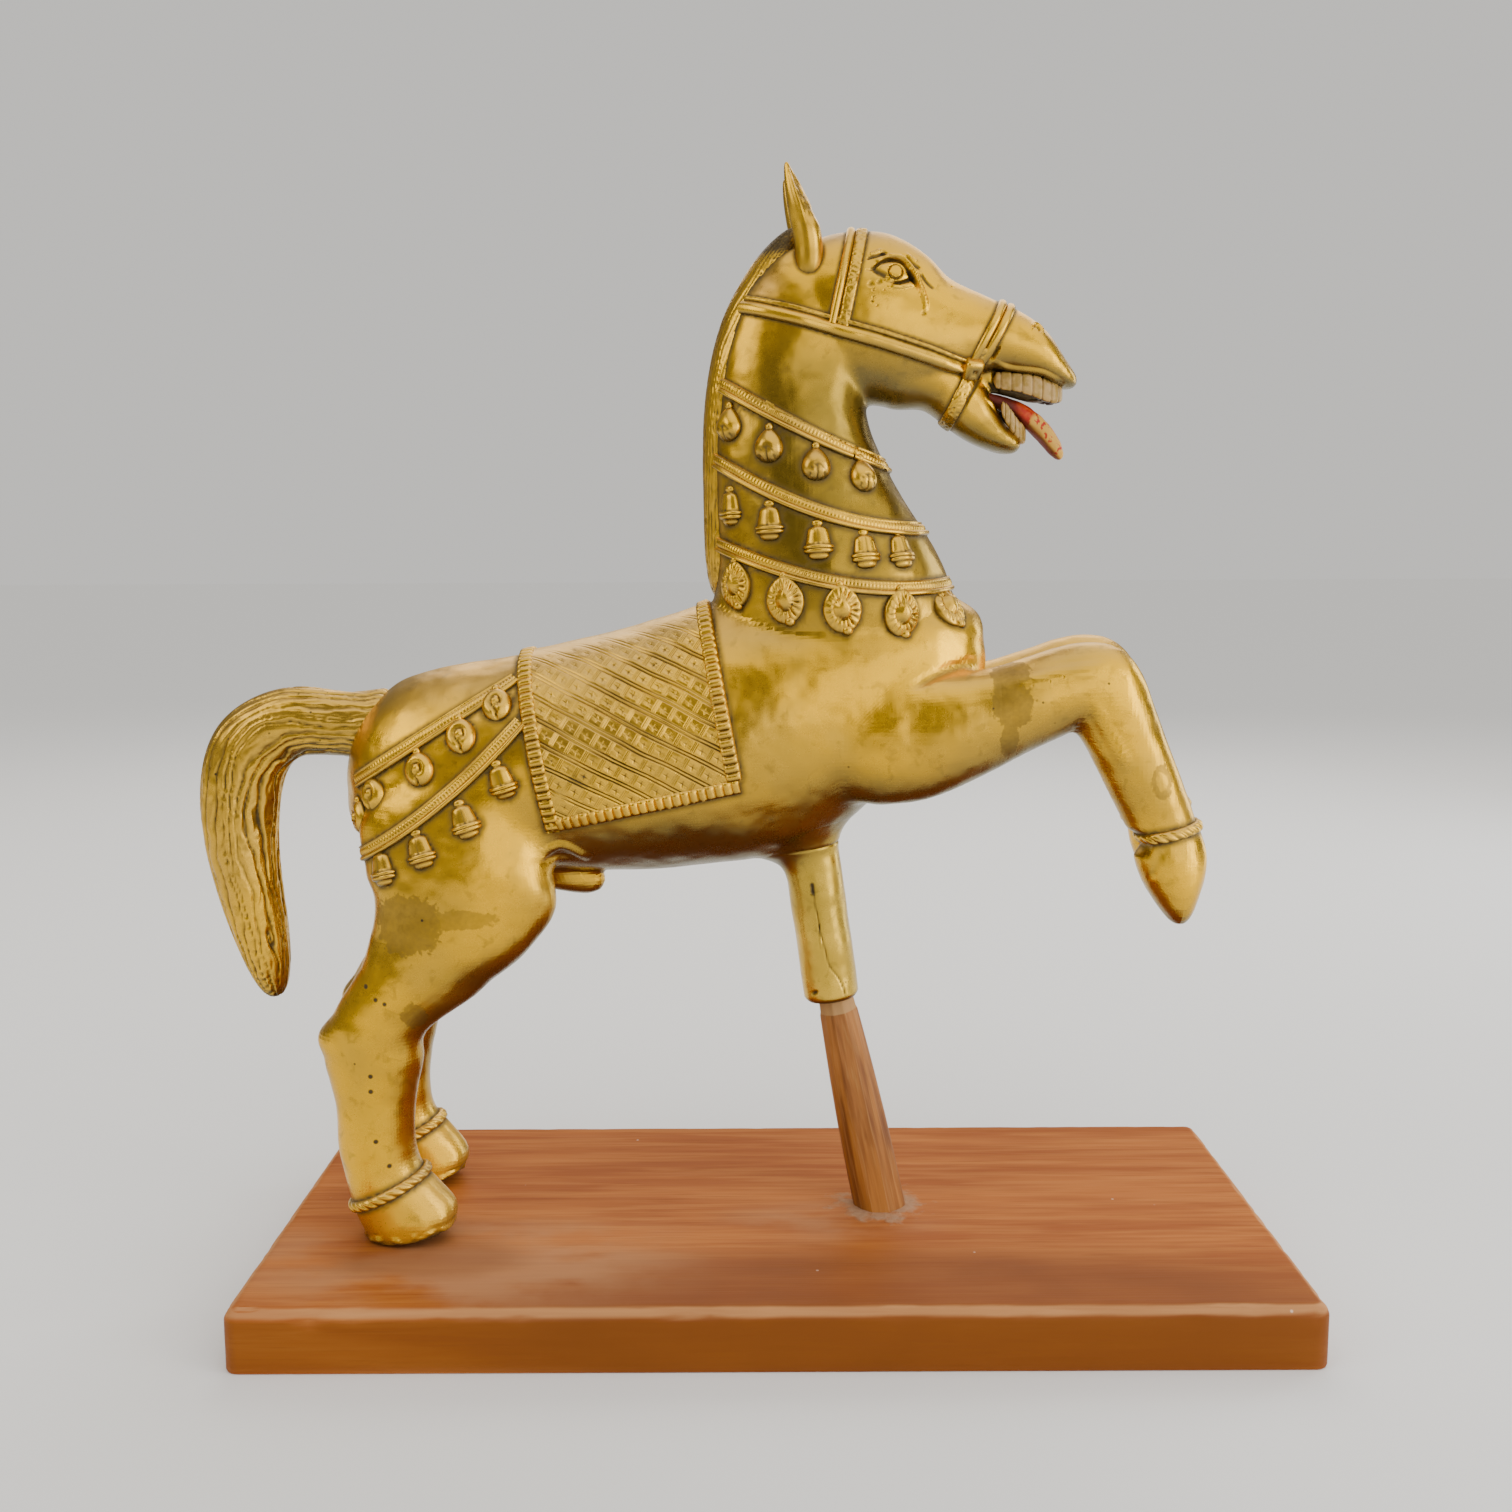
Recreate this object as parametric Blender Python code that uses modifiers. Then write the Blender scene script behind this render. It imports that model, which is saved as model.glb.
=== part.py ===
"""Brass horse rearing over a polished board, held up by a wooden post under its chest.

The horse faces +X, its middle plane is Y = 0 and +Z is up. The origin is the middle of
the board's underside. Shapes are tabled in millimetres and built in metres.
"""
import math

import bmesh
import bpy
from mathutils import Matrix, Vector
from mathutils.bvhtree import BVHTree

MM = 0.001
SIDEWAYS = Vector((0, 1, 0))
SIDES = (-1, 1)             # right, left

# Driving dimensions, in millimetres
BOARD_LENGTH = 564.0
BOARD_DEPTH = 249.0
BOARD_MIDDLE = (-2.0, -3.0)   # the horse stands a little off it
BOARD_THICKNESS = 34.0
BOARD_EDGE_ROUNDING = 7.0   # round the top
BOARD_CORNER_ROUNDING = 3.5
FIT_GAP = 0.3               # between pieces that rest on or in each other

POST_FOOT_X = 60.0          # where the post's axis leaves the board
POST_TILT = 11.7            # degrees from upright, leaning back under the horse
POST_FOOT_RADIUS = 15.5
POST_HEAD_RADIUS = 9.4
POST_LENGTH = 156.0         # above the board's top face
POST_IN_BOARD = 20.0
POST_FLATS = 12             # left by the knife

SOCKET_MOUTH = (32.0, 159.0)    # x, z of the lower rim's centre
SOCKET_TILT = 8.0
SOCKET_LENGTH = 104.0
SOCKET_RADIUS = 15.8
SOCKET_WALL = 1.2

HOOF_SOLE = BOARD_THICKNESS + FIT_GAP
LEFT_FORELEG_AHEAD = 14.0   # the left foreleg is carried a little further forward,
LEFT_HIND_BEHIND = 8.0      # and the left hind leg stands a little further back

FORM_VOXEL = 2.6            # head, body and limbs are run together at this fineness,
FORM_TRIANGLES = 14000
CARVING_VOXEL = 1.5         # and what is carved on them at this one
HORSE_TRIANGLES = 8600

BLANKET = [(-143, 361), (-124, 264), (-17, 287), (-36, 389)]    # corners in x, z
BLANKET_THICKNESS = 1.6
BORDER_WIDTH = 9.0
BORDER_THICKNESS = 3.0

# A strap's height over x is z0 + slope * (x - x0) + curve * (x - x0) ** 2, in this order.
# Each comes with the spacing of its pendants and how far they hang below it.
COLLAR_AXIS_X = 24.0        # the collars are found by looking in towards this line
LOOK_FROM = 100.0           # from this far off, which is nearer than the tail and the legs
LOOK_NEAR = 36.0            # and from this far off round the head and the fetlocks
COLLARS = [
    ((0.0, 487.0, -0.547, 0.0021), 26.0, 17.0),
    ((0.0, 444.0, -0.442, 0.0030), 25.0, 19.0),
    ((0.0, 405.0, -0.329, 0.0024), 32.0, 16.0),
]
COLLAR_END = 152.0          # degrees from the chest, where the mane begins
CRUPPER_AXIS_X = -150.0
CRUPPER_START = 74.0        # degrees from the head, at the blanket's edge
CRUPPER_END = 160.0         # under the tail
CRUPPERS = [
    ((-230.0, 290.0, 0.63, 0.0), 28.0, 15.0),
    ((-221.0, 254.0, 0.549, 0.00327), 28.0, 20.0),
]
CHEEK_STRAP = [(-16, 544), (106, 511)]      # nape to bit, x and z
# Head straps as tilted rings: centre and top in x, z, and how far round each side they go
CROWN_STRAP = ((40, 545), (45, 585), 105)
NOSE_STRAP = ((113, 525), (121.5, 545), 110)
CHIN_STRAP = ((99, 496), (89, 476), 80)
STRAP_WIDTH = 8.0
STRAP_PROUD = 1.7
STRAP_SUNK = 2.0
ANKLET_WIDTH = 5.0
ANKLET_PROUD = 2.4
# Rings of rope above the hooves: centre and front in x and z, and distance from Y = 0
FORE_ANKLET = ((212, 261), (232, 267), 36)
HIND_ANKLET = ((-219, 62), (-198, 72), 40)
# Pendants, one size a row: width, length and how far they stand out
COLLAR_PENDANTS = [(14, 20, 9), (15, 24, 9), (22, 28, 7)]
CRUPPER_PENDANTS = [(16, 20, 10), (16, 24, 9)]

# Sections of each limb: x, y, z of the centre, half depth in the XZ plane, half width in Y.
# The depth is measured square to the limb's own run.
TORSO = [
    (-239, 0, 305, 18, 15),
    (-225, 0, 302, 42, 36),
    (-203, 0, 294, 55, 47),
    (-170, 0, 294.5, 58, 53),
    (-130, 0, 297, 61.5, 56),
    (-84, 0, 301, 67, 57),
    (-40, 0, 308, 71, 57),
    (0, 0, 319, 75, 56),
    (34, 0, 337, 62, 52),
    (67, 0, 347, 53, 46),
    (99, 0, 357, 40, 34),
    (118, 0, 357, 17, 16),
]
NECK = [
    (36, 0, 345, 74, 44),
    (30, 0, 396, 66, 46),
    (18, 0, 430, 52, 41),
    (10, 0, 464, 45, 35),
    (6, 0, 496, 42, 31),
    (14, 0, 530, 41, 28),
    (19, 0, 556, 36, 25),
    (26, 0, 575, 18, 14),
]
HEAD = [
    (4, 0, 550, 24, 18),
    (22, 0, 546, 40, 27),
    (50, 0, 540, 47, 29),
    (76, 0, 529.5, 41.5, 27),
    (92, 0, 529, 31, 24),
    (106, 0, 529.5, 23.5, 21),
    (127, 0, 526.5, 18, 18),
    (143, 0, 520, 14.5, 17.5),
    (153, 0, 512.5, 10.5, 15),
    (166, 0, 503.5, 4.5, 9),
]
LOWER_JAW = [
    (54, 0, 512, 22, 20),
    (76, 0, 510, 20.5, 19),
    (90, 0, 507, 17.5, 18),
    (103, 0, 493.5, 17, 16),
    (120, 0, 482, 16, 15),
    (133, 0, 475.5, 10.5, 12),
    (141, 0, 473.5, 6, 8),
]
FORELEG = [
    (26, 30, 312, 34, 18),
    (60, 32, 312, 39, 22),
    (95, 35, 317, 31.5, 21),
    (128, 36, 328.5, 23.5, 19),
    (154, 36, 340, 24.5, 18),
    (174, 36, 345, 29, 18),
    (186, 36, 318, 20.5, 17),
    (198, 36, 291, 19.5, 16),
    (208, 36, 270, 18.5, 15),
    (212.5, 36, 258, 18.5, 16),
    (216.5, 36, 243, 20, 18),
    (219, 36, 224, 13, 15),
    (221, 36, 209, 3, 7),
]
HIND_LEG = [
    (-186, 30, 303, 40, 22),
    (-176, 33, 268, 50, 27),
    (-173, 36, 238, 53, 27),
    (-175, 38, 211, 46, 25),
    (-195.5, 40, 186, 28.5, 22),
    (-218.5, 40, 163, 23.5, 20),
    (-224, 40, 143, 31.5, 19),
    (-223, 40, 120, 22, 18),
    (-223, 40, 92, 20, 17.5),
    (-221, 40, 72, 21, 17.5),
    (-216, 40, 60, 24, 18),
    (-207, 40, 47, 26, 19.5),
    (-198, 40, 30, 28, 21),
]
TAIL = [
    (-213, 0, 316, 18, 15),
    (-243, 0, 318, 18, 15),
    (-271, 0, 323, 21, 16),
    (-298, 0, 308.5, 25.5, 17),
    (-305, 0, 275, 23, 18),
    (-304, 0, 245, 20, 18),
    (-299, 0, 215, 17.5, 17),
    (-293.5, 0, 190, 14.5, 15),
    (-290, 0, 170, 10, 11),
    (-288, 0, 160, 4, 5),
]
SHEATH = [
    (-135, 0, 238, 14, 12),
    (-120, 0, 231, 12, 11),
    (-106, 0, 229, 8, 8),
    (-98, 0, 230, 4, 5),
]
UPPER_TEETH = [
    (110, 0, 508, 5, 8),
    (130, 0, 504, 6, 11),
    (146, 0, 499, 6, 11),
    (155, 0, 495, 3, 6),
]
MANE = [
    (9, 0, 577, 7, 9),
    (2, 0, 566, 13, 15),
    (-5, 0, 551, 15.5, 17),
    (-13.5, 0, 533, 17, 17.5),
    (-20.5, 0, 509, 16.5, 17),
    (-25, 0, 477, 15.5, 15),
    (-25, 0, 434, 14.5, 13),
    (-25.5, 0, 409, 14, 13),
    (-24, 0, 384, 11, 10),
]
EAR = [
    (18.6, 16, 556, 7.8, 8),
    (18.4, 16, 571, 7.6, 8.5),
    (16.4, 17, 582.5, 8.2, 7.5),
    (13.2, 18, 594, 7.6, 6),
    (9.4, 18.5, 605.5, 5.2, 4),
    (7.2, 18.5, 611.5, 3, 2.6),
    (5.8, 19, 616.5, 1, 1),
]
TONGUE = [
    (112, 0, 500, 3.4, 5),
    (124, 0, 496, 4.4, 6),
    (137, 0, 488.5, 5.4, 6.8),
    (147, 0, 478.6, 5.4, 6.8),
    (154.5, 0, 468, 4.4, 5.6),
    (157.2, 0, 463, 2, 2.8),
]


def material(name, colour, roughness, metallic):
    finish = bpy.data.materials.new(name)
    finish.use_nodes = True
    shader = finish.node_tree.nodes["Principled BSDF"]
    shader.inputs["Base Color"].default_value = (*colour, 1)
    shader.inputs["Roughness"].default_value = roughness
    shader.inputs["Metallic"].default_value = metallic
    finish.diffuse_color = (*colour, 1)
    return finish


def object_from_bmesh(name, mesh, collection):
    data = bpy.data.meshes.new(name)
    mesh.to_mesh(data)
    mesh.free()
    obj = bpy.data.objects.new(name, data)
    collection.objects.link(obj)
    return obj


def shade_round(obj, finish):
    """Smooth shading that keeps edges over 40 degrees sharp, with the object's material."""
    obj.data.materials.append(finish)
    obj.data.shade_smooth()
    obj.data.set_sharp_from_angle(angle=math.radians(40))


def settled(obj, name):
    """The object's mesh with its modifiers carried out, in world coordinates."""
    bpy.context.view_layer.update()
    depsgraph = bpy.context.evaluated_depsgraph_get()
    data = bpy.data.meshes.new_from_object(obj.evaluated_get(depsgraph))
    data.transform(obj.matrix_world)
    data.name = name
    return data


def add_loft(mesh, sections, sides=10, side=1, shift=0.0, grow=0.0):
    """A closed tube through the sections; the rings are swelled by what rounding takes off."""
    swell = 3 / (2 + math.cos(2 * math.pi / sides))
    centres = [Vector((x + shift, side * y, z)) * MM for x, y, z, _, _ in sections]
    rings = []
    for i, (_, _, _, deep, wide) in enumerate(sections):
        run = centres[min(i + 1, len(centres) - 1)] - centres[max(i - 1, 0)]
        run.y = 0
        across = run.normalized().cross(SIDEWAYS)
        ring = []
        for k in range(sides):
            angle = 2 * math.pi * k / sides
            reach = across * (deep + grow) * math.cos(angle)
            reach += SIDEWAYS * (wide + grow) * math.sin(angle)
            ring.append(mesh.verts.new(centres[i] + reach * swell * MM))
        rings.append(ring)
    faces = [mesh.faces.new(rings[0]), mesh.faces.new(rings[-1][::-1])]
    for lower, upper in zip(rings, rings[1:]):
        for k in range(sides):
            faces.append(mesh.faces.new((lower[k], lower[k - 1], upper[k - 1], upper[k])))
    bmesh.ops.recalc_face_normals(mesh, faces=faces)


def round_off(obj, levels):
    rounding = obj.modifiers.new("rounding", "SUBSURF")
    rounding.levels = rounding.render_levels = levels


def add_boolean(obj, cutter, operation):
    cut = obj.modifiers.new(cutter.name, "BOOLEAN")
    cut.operation = operation
    cut.solver = "EXACT"
    cut.object = cutter


def run_together(obj, voxel, rounds, triangles):
    """Gives overlapping closed pieces one skin, eased by some rounds of smoothing."""
    remesh = obj.modifiers.new("one_skin", "REMESH")
    remesh.mode = "VOXEL"
    remesh.voxel_size = voxel * MM
    soften = obj.modifiers.new("soften", "SMOOTH")
    soften.factor = 0.5
    soften.iterations = rounds
    skin = settled(obj, "skin")
    skin.calc_loop_triangles()
    thin = obj.modifiers.new("thin", "DECIMATE")
    thin.ratio = triangles / len(skin.loop_triangles)


def smooth_form(collection):
    """Head, body and limbs, with nothing carved on them."""
    mesh = bmesh.new()
    for sections in (TORSO, NECK, HEAD):
        add_loft(mesh, sections, sides=12)
    for sections in (LOWER_JAW, UPPER_TEETH, TAIL, SHEATH, MANE):
        add_loft(mesh, sections)
    for side in SIDES:
        on_left = side > 0
        add_loft(mesh, FORELEG, side=side, shift=LEFT_FORELEG_AHEAD * on_left)
        add_loft(mesh, HIND_LEG, side=side, shift=-LEFT_HIND_BEHIND * on_left)
        add_loft(mesh, EAR, side=side)
    form = object_from_bmesh("form", mesh, collection)
    round_off(form, 2)
    run_together(form, FORM_VOXEL, 4, FORM_TRIANGLES)
    return form


class Skin:
    """Finds points on the horse's skin, in millimetres, each with its outward normal."""

    def __init__(self, mesh):
        corners = [vertex.co / MM for vertex in mesh.vertices]
        self.tree = BVHTree.FromPolygons(corners, [face.vertices[:] for face in mesh.polygons])

    def towards(self, target, direction, distance=LOOK_FROM):
        """The first point met when looking back at the target from one direction."""
        start = target + direction.normalized() * distance
        point, normal, _, _ = self.tree.ray_cast(start, -direction)
        return point, normal

    def collar(self, axis_x, height, first, last, steps):
        """Points round an upright axis, at a height that depends on x; angles from +X."""
        x0, z0, slope, curve = height
        stops = []
        for i in range(steps + 1):
            angle = math.radians(first + (last - first) * i / steps)
            direction = Vector((math.cos(angle), math.sin(angle), 0))
            x = axis_x
            for _ in range(12):
                z = z0 + slope * (x - x0) + curve * (x - x0) ** 2
                point, normal = self.towards(Vector((axis_x, 0, z)), direction)
                x = (x + point.x) / 2
            stops.append((point, normal))
        return stops

    def girth(self, centre, top, first, last, steps, y=0.0):
        """Points round a tilted ring with this centre and top; angles from its top."""
        middle = Vector((centre[0], y, centre[1]))
        up = Vector((top[0], y, top[1])) - middle
        stops = []
        for i in range(steps + 1):
            angle = math.radians(first + (last - first) * i / steps)
            direction = up.normalized() * math.cos(angle) + SIDEWAYS * math.sin(angle)
            stops.append(self.towards(middle, direction, LOOK_NEAR))
        return stops

    def flank(self, start, end, side, steps):
        """Points along a line seen straight from one side."""
        stops = []
        for i in range(steps + 1):
            x, z = Vector(start).lerp(Vector(end), i / steps)
            stops.append(self.towards(Vector((x, 0, z)), SIDEWAYS * side))
        return stops


def add_strap(mesh, stops, closed, width=STRAP_WIDTH, proud=STRAP_PROUD):
    """A flat strap laid along the stops, half sunk in the surface."""
    rings = []
    count = len(stops)
    for i, (point, normal) in enumerate(stops):
        ahead = stops[(i + 1) % count if closed else min(i + 1, count - 1)][0]
        behind = stops[i - 1 if closed or i else 0][0]
        across = (ahead - behind).cross(normal).normalized() * width / 2
        low = point - normal * STRAP_SUNK
        high = point + normal * proud
        ring = (low - across, high - across, high + across, low + across)
        rings.append([mesh.verts.new(corner * MM) for corner in ring])
    faces = []
    pairs = list(zip(rings, rings[1:]))
    if closed:
        pairs.append((rings[-1], rings[0]))
    else:
        faces.append(mesh.faces.new(rings[0]))
        faces.append(mesh.faces.new(rings[-1][::-1]))
    for near, far in pairs:
        for k in range(4):
            faces.append(mesh.faces.new((near[k], near[k - 1], far[k - 1], far[k])))
    bmesh.ops.recalc_face_normals(mesh, faces=faces)


def add_pendant(mesh, point, normal, size):
    """A drop hanging on the surface: size is its width, length and how far it stands out."""
    hang = Vector((0, 0, -1))
    hang = (hang - normal * hang.dot(normal)).normalized()
    across = hang.cross(normal)
    turn = Matrix((across, hang, normal)).transposed().to_4x4()
    place = Matrix.Translation(point * MM) @ turn @ Matrix.Diagonal((*size, 1))
    place @= Matrix.Scale(MM, 4)
    bmesh.ops.create_uvsphere(mesh, u_segments=16, v_segments=8, radius=0.5, matrix=place)


def walk(stops, distances):
    """Points at the given distances along the stops."""
    found = []
    travelled = 0.0
    for (start, _), (end, _) in zip(stops, stops[1:]):
        step = (end - start).length
        while len(found) < len(distances) and distances[len(found)] <= travelled + step:
            part = (distances[len(found)] - travelled) / step
            found.append(start.lerp(end, part))
        travelled += step
    return found


def add_straps(mesh, skin):
    for height, _, _ in COLLARS:
        add_strap(mesh, skin.collar(COLLAR_AXIS_X, height, 0, 360, 40)[:-1], closed=True)
    for centre, top, reach in (CROWN_STRAP, NOSE_STRAP, CHIN_STRAP):
        add_strap(mesh, skin.girth(centre, top, -reach, reach, 16), closed=False)
    for side in SIDES:
        add_strap(mesh, skin.flank(CHEEK_STRAP[0], CHEEK_STRAP[1], side, 10), closed=False)
        start, end = side * CRUPPER_START, side * CRUPPER_END
        for height, _, _ in CRUPPERS:
            add_strap(mesh, skin.collar(CRUPPER_AXIS_X, height, start, end, 16), closed=False)


def add_anklets(mesh, skin):
    for side in SIDES:
        for (centre, front, y), ahead in ((FORE_ANKLET, LEFT_FORELEG_AHEAD),
                                          (HIND_ANKLET, -LEFT_HIND_BEHIND)):
            shift = ahead * (side > 0)
            stops = skin.girth((centre[0] + shift, centre[1]), (front[0] + shift, front[1]),
                               0, 360, 16, side * y)
            add_strap(mesh, stops[:-1], True, ANKLET_WIDTH, ANKLET_PROUD)


def add_pendants(mesh, skin):
    rows = [(row, COLLAR_AXIS_X, 0, COLLAR_END) for row in COLLARS]
    rows += [(row, CRUPPER_AXIS_X, CRUPPER_START, CRUPPER_END) for row in CRUPPERS]
    sizes = COLLAR_PENDANTS + CRUPPER_PENDANTS
    for ((height, pitch, drop), axis_x, first, last), size in zip(rows, sizes):
        x0, z0, slope, curve = height
        hung = (x0, z0 - drop, slope, curve)
        for side in SIDES:
            stops = skin.collar(axis_x, hung, side * first, side * last, 60)
            for middle in walk(stops, [pitch * (k + 0.5) for k in range(8)]):
                direction = Vector((middle.x - axis_x, middle.y, 0))
                point, normal = skin.towards(Vector((axis_x, 0, middle.z)), direction)
                add_pendant(mesh, point, normal, size)


def add_blanket_layer(mesh, form, collection, outline, thickness):
    """The form swelled by a thickness and cut to an outline carried across the horse."""
    shape = bmesh.new()
    face = shape.faces.new([shape.verts.new(Vector((x, -100, z)) * MM) for x, z in outline])
    pushed = bmesh.ops.extrude_face_region(shape, geom=[face])
    moved = [item for item in pushed["geom"] if isinstance(item, bmesh.types.BMVert)]
    bmesh.ops.translate(shape, verts=moved, vec=SIDEWAYS * 200 * MM)
    bmesh.ops.recalc_face_normals(shape, faces=shape.faces)
    prism = object_from_bmesh("blanket_outline", shape, collection)
    layer = bpy.data.objects.new("blanket_layer", form.data.copy())
    collection.objects.link(layer)
    swell = layer.modifiers.new("swell", "DISPLACE")
    swell.mid_level = 0
    swell.strength = thickness * MM
    add_boolean(layer, prism, "INTERSECT")
    mesh.from_mesh(settled(layer, "layer"))
    bpy.data.objects.remove(layer)
    bpy.data.objects.remove(prism)


def add_blanket(mesh, form, collection):
    add_blanket_layer(mesh, form, collection, BLANKET, BLANKET_THICKNESS)
    middle = sum((Vector(corner) for corner in BLANKET), Vector((0, 0))) / len(BLANKET)
    for i, corner in enumerate(BLANKET):
        start, end = Vector(BLANKET[i - 1]), Vector(corner)
        along = (end - start).normalized()
        inward = Vector((-along.y, along.x))
        if inward.dot(middle - start) < 0:
            inward = -inward
        inward *= BORDER_WIDTH
        strip = [start, end, end + inward, start + inward]
        add_blanket_layer(mesh, form, collection, strip, BORDER_THICKNESS)


def tilted_rod(mesh, foot, tilt, length, foot_radius, head_radius, sides):
    """A rod or cone rising from its foot and leaning back by the tilt, in degrees."""
    lean = Matrix.Rotation(math.radians(-tilt), 4, "Y")
    place = Matrix.Translation(Vector((foot[0], 0, foot[1])) * MM) @ lean
    place @= Matrix.Translation((0, 0, length / 2 * MM))
    bmesh.ops.create_cone(
        mesh, cap_ends=True, segments=sides, radius1=foot_radius * MM,
        radius2=head_radius * MM, depth=length * MM, matrix=place,
    )


def post_rod(name, collection, grow=0.0):
    """The post's rod, from its end in the board to its end in the socket."""
    mesh = bmesh.new()
    sunk = POST_IN_BOARD / math.cos(math.radians(POST_TILT))
    foot_x = POST_FOOT_X + POST_IN_BOARD * math.tan(math.radians(POST_TILT))
    length = POST_LENGTH + sunk
    tilted_rod(
        mesh, (foot_x, BOARD_THICKNESS - POST_IN_BOARD), POST_TILT, length,
        POST_FOOT_RADIUS + grow, POST_HEAD_RADIUS + grow, POST_FLATS,
    )
    return object_from_bmesh(name, mesh, collection)


def board(collection, cutters):
    mesh = bmesh.new()
    size = Matrix.Diagonal((BOARD_LENGTH * MM, BOARD_DEPTH * MM, BOARD_THICKNESS * MM, 1))
    lift = Matrix.Translation(Vector((*BOARD_MIDDLE, BOARD_THICKNESS / 2)) * MM)
    bmesh.ops.create_cube(mesh, size=1, matrix=lift @ size)
    upright = [edge for edge in mesh.edges if abs(edge.verts[0].co.z - edge.verts[1].co.z) > MM]
    bmesh.ops.bevel(mesh, geom=upright, offset=BOARD_CORNER_ROUNDING * MM, segments=3,
                    profile=0.5, affect="EDGES")
    top = [edge for edge in mesh.edges
           if min(vert.co.z for vert in edge.verts) > (BOARD_THICKNESS - 0.1) * MM]
    bmesh.ops.bevel(mesh, geom=top, offset=BOARD_EDGE_ROUNDING * MM, segments=4,
                    profile=0.5, affect="EDGES")
    plank = object_from_bmesh("board", mesh, collection)
    add_boolean(plank, post_rod("post_hole", cutters, FIT_GAP), "DIFFERENCE")
    return plank


def socket_rod(name, collection, radius, below=0.0, above=0.0):
    """A rod on the socket's axis, drawn out past its mouth and past its top."""
    lean = math.radians(SOCKET_TILT)
    foot = (SOCKET_MOUTH[0] + below * math.sin(lean), SOCKET_MOUTH[1] - below * math.cos(lean))
    mesh = bmesh.new()
    tilted_rod(mesh, foot, SOCKET_TILT, SOCKET_LENGTH + below + above, radius, radius, 24)
    return object_from_bmesh(name, mesh, collection)


def ground_block(collection):
    """What the standing hooves' soles are cut flat against."""
    mesh = bmesh.new()
    size = Vector((BOARD_LENGTH, BOARD_DEPTH, HOOF_SOLE + 40)) * MM
    lift = Matrix.Translation((0, 0, HOOF_SOLE * MM - size.z / 2))
    bmesh.ops.create_cube(mesh, size=1, matrix=lift @ Matrix.Diagonal((*size, 1)))
    return object_from_bmesh("ground", mesh, collection)


def tongue_loft(name, collection, grow=0.0):
    mesh = bmesh.new()
    add_loft(mesh, TONGUE, sides=8, grow=grow)
    tongue = object_from_bmesh(name, mesh, collection)
    round_off(tongue, 1)
    return tongue


for old in list(bpy.data.objects):
    bpy.data.objects.remove(old)

statue = bpy.data.collections.new("brass_horse_statue")
cutters = bpy.data.collections.new("cutters")
for collection in (statue, cutters):
    bpy.context.scene.collection.children.link(collection)

brass = material("worn_brass", (0.60, 0.42, 0.14), 0.32, 1.0)
paint = material("red_paint", (0.62, 0.10, 0.04), 0.55, 0.0)
post_wood = material("whittled_wood", (0.27, 0.12, 0.05), 0.6, 0.0)
board_wood = material("reddish_board", (0.25, 0.08, 0.035), 0.4, 0.0)

form = smooth_form(cutters)
plain = bpy.data.objects.new("plain_form", settled(form, "plain_form"))
cutters.objects.link(plain)
skin = Skin(plain.data)
carving = bmesh.new()
carving.from_mesh(plain.data)
add_straps(carving, skin)
add_anklets(carving, skin)
add_pendants(carving, skin)
add_blanket(carving, plain, cutters)
carved = object_from_bmesh("carved", carving, cutters)
run_together(carved, CARVING_VOXEL, 1, HORSE_TRIANGLES)

horse = bpy.data.objects.new("horse", settled(carved, "horse"))
statue.objects.link(horse)
shade_round(horse, brass)
for rough in (form, plain, carved):
    bpy.data.objects.remove(rough)
add_boolean(horse, ground_block(cutters), "DIFFERENCE")
add_boolean(horse, tongue_loft("tongue_gap", cutters, FIT_GAP), "DIFFERENCE")
recess = socket_rod("socket_recess", cutters, SOCKET_RADIUS + FIT_GAP, above=FIT_GAP)
add_boolean(horse, recess, "DIFFERENCE")

tongue = tongue_loft("tongue", statue)
shade_round(tongue, paint)

post_socket = socket_rod("post_socket", statue, SOCKET_RADIUS)
shade_round(post_socket, brass)
bore = socket_rod("socket_bore", cutters, SOCKET_RADIUS - SOCKET_WALL, below=10, above=10)
add_boolean(post_socket, bore, "DIFFERENCE")

post = post_rod("post", statue)
post.data.materials.append(post_wood)

plank = board(statue, cutters)
shade_round(plank, board_wood)

for cutter in cutters.objects:
    cutter.hide_render = True
    cutter.display_type = "WIRE"
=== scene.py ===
import math
from contextlib import contextmanager

import bmesh
import bpy
import numpy as np
from mathutils import Matrix, Vector, noise
from mathutils.bvhtree import BVHTree


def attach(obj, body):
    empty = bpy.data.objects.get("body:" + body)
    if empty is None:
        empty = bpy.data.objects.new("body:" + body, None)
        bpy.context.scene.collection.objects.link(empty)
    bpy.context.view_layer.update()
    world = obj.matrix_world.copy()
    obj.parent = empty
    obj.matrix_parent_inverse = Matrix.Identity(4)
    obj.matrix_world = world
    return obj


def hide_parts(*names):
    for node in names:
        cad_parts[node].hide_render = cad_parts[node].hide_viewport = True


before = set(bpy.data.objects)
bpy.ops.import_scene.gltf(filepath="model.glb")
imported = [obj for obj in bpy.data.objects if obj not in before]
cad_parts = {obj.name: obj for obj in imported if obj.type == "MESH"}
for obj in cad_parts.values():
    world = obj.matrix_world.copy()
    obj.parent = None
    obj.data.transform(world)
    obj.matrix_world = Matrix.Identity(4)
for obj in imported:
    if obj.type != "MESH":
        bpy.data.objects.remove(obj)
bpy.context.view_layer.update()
bpy.ops.object.select_all(action="DESELECT")

# ---- The casting -----------------------------------------------------------------------
# Body, neck and legs are one hollow brass casting, filed and polished by hand. Each limb is
# drawn out of a disc from section to section, and all are run into one skin and eased.
# A section is x, y, z of its centre, half depth square to the run and half width, in mm.

MM = 0.001
SIDEWAYS = Vector((0, 1, 0))
NEAR, FAR = -1, 1
FAR_FORELEG_AHEAD = 14
FAR_HIND_LEG_BEHIND = 8
HOOF_SOLE = 34.3

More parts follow.
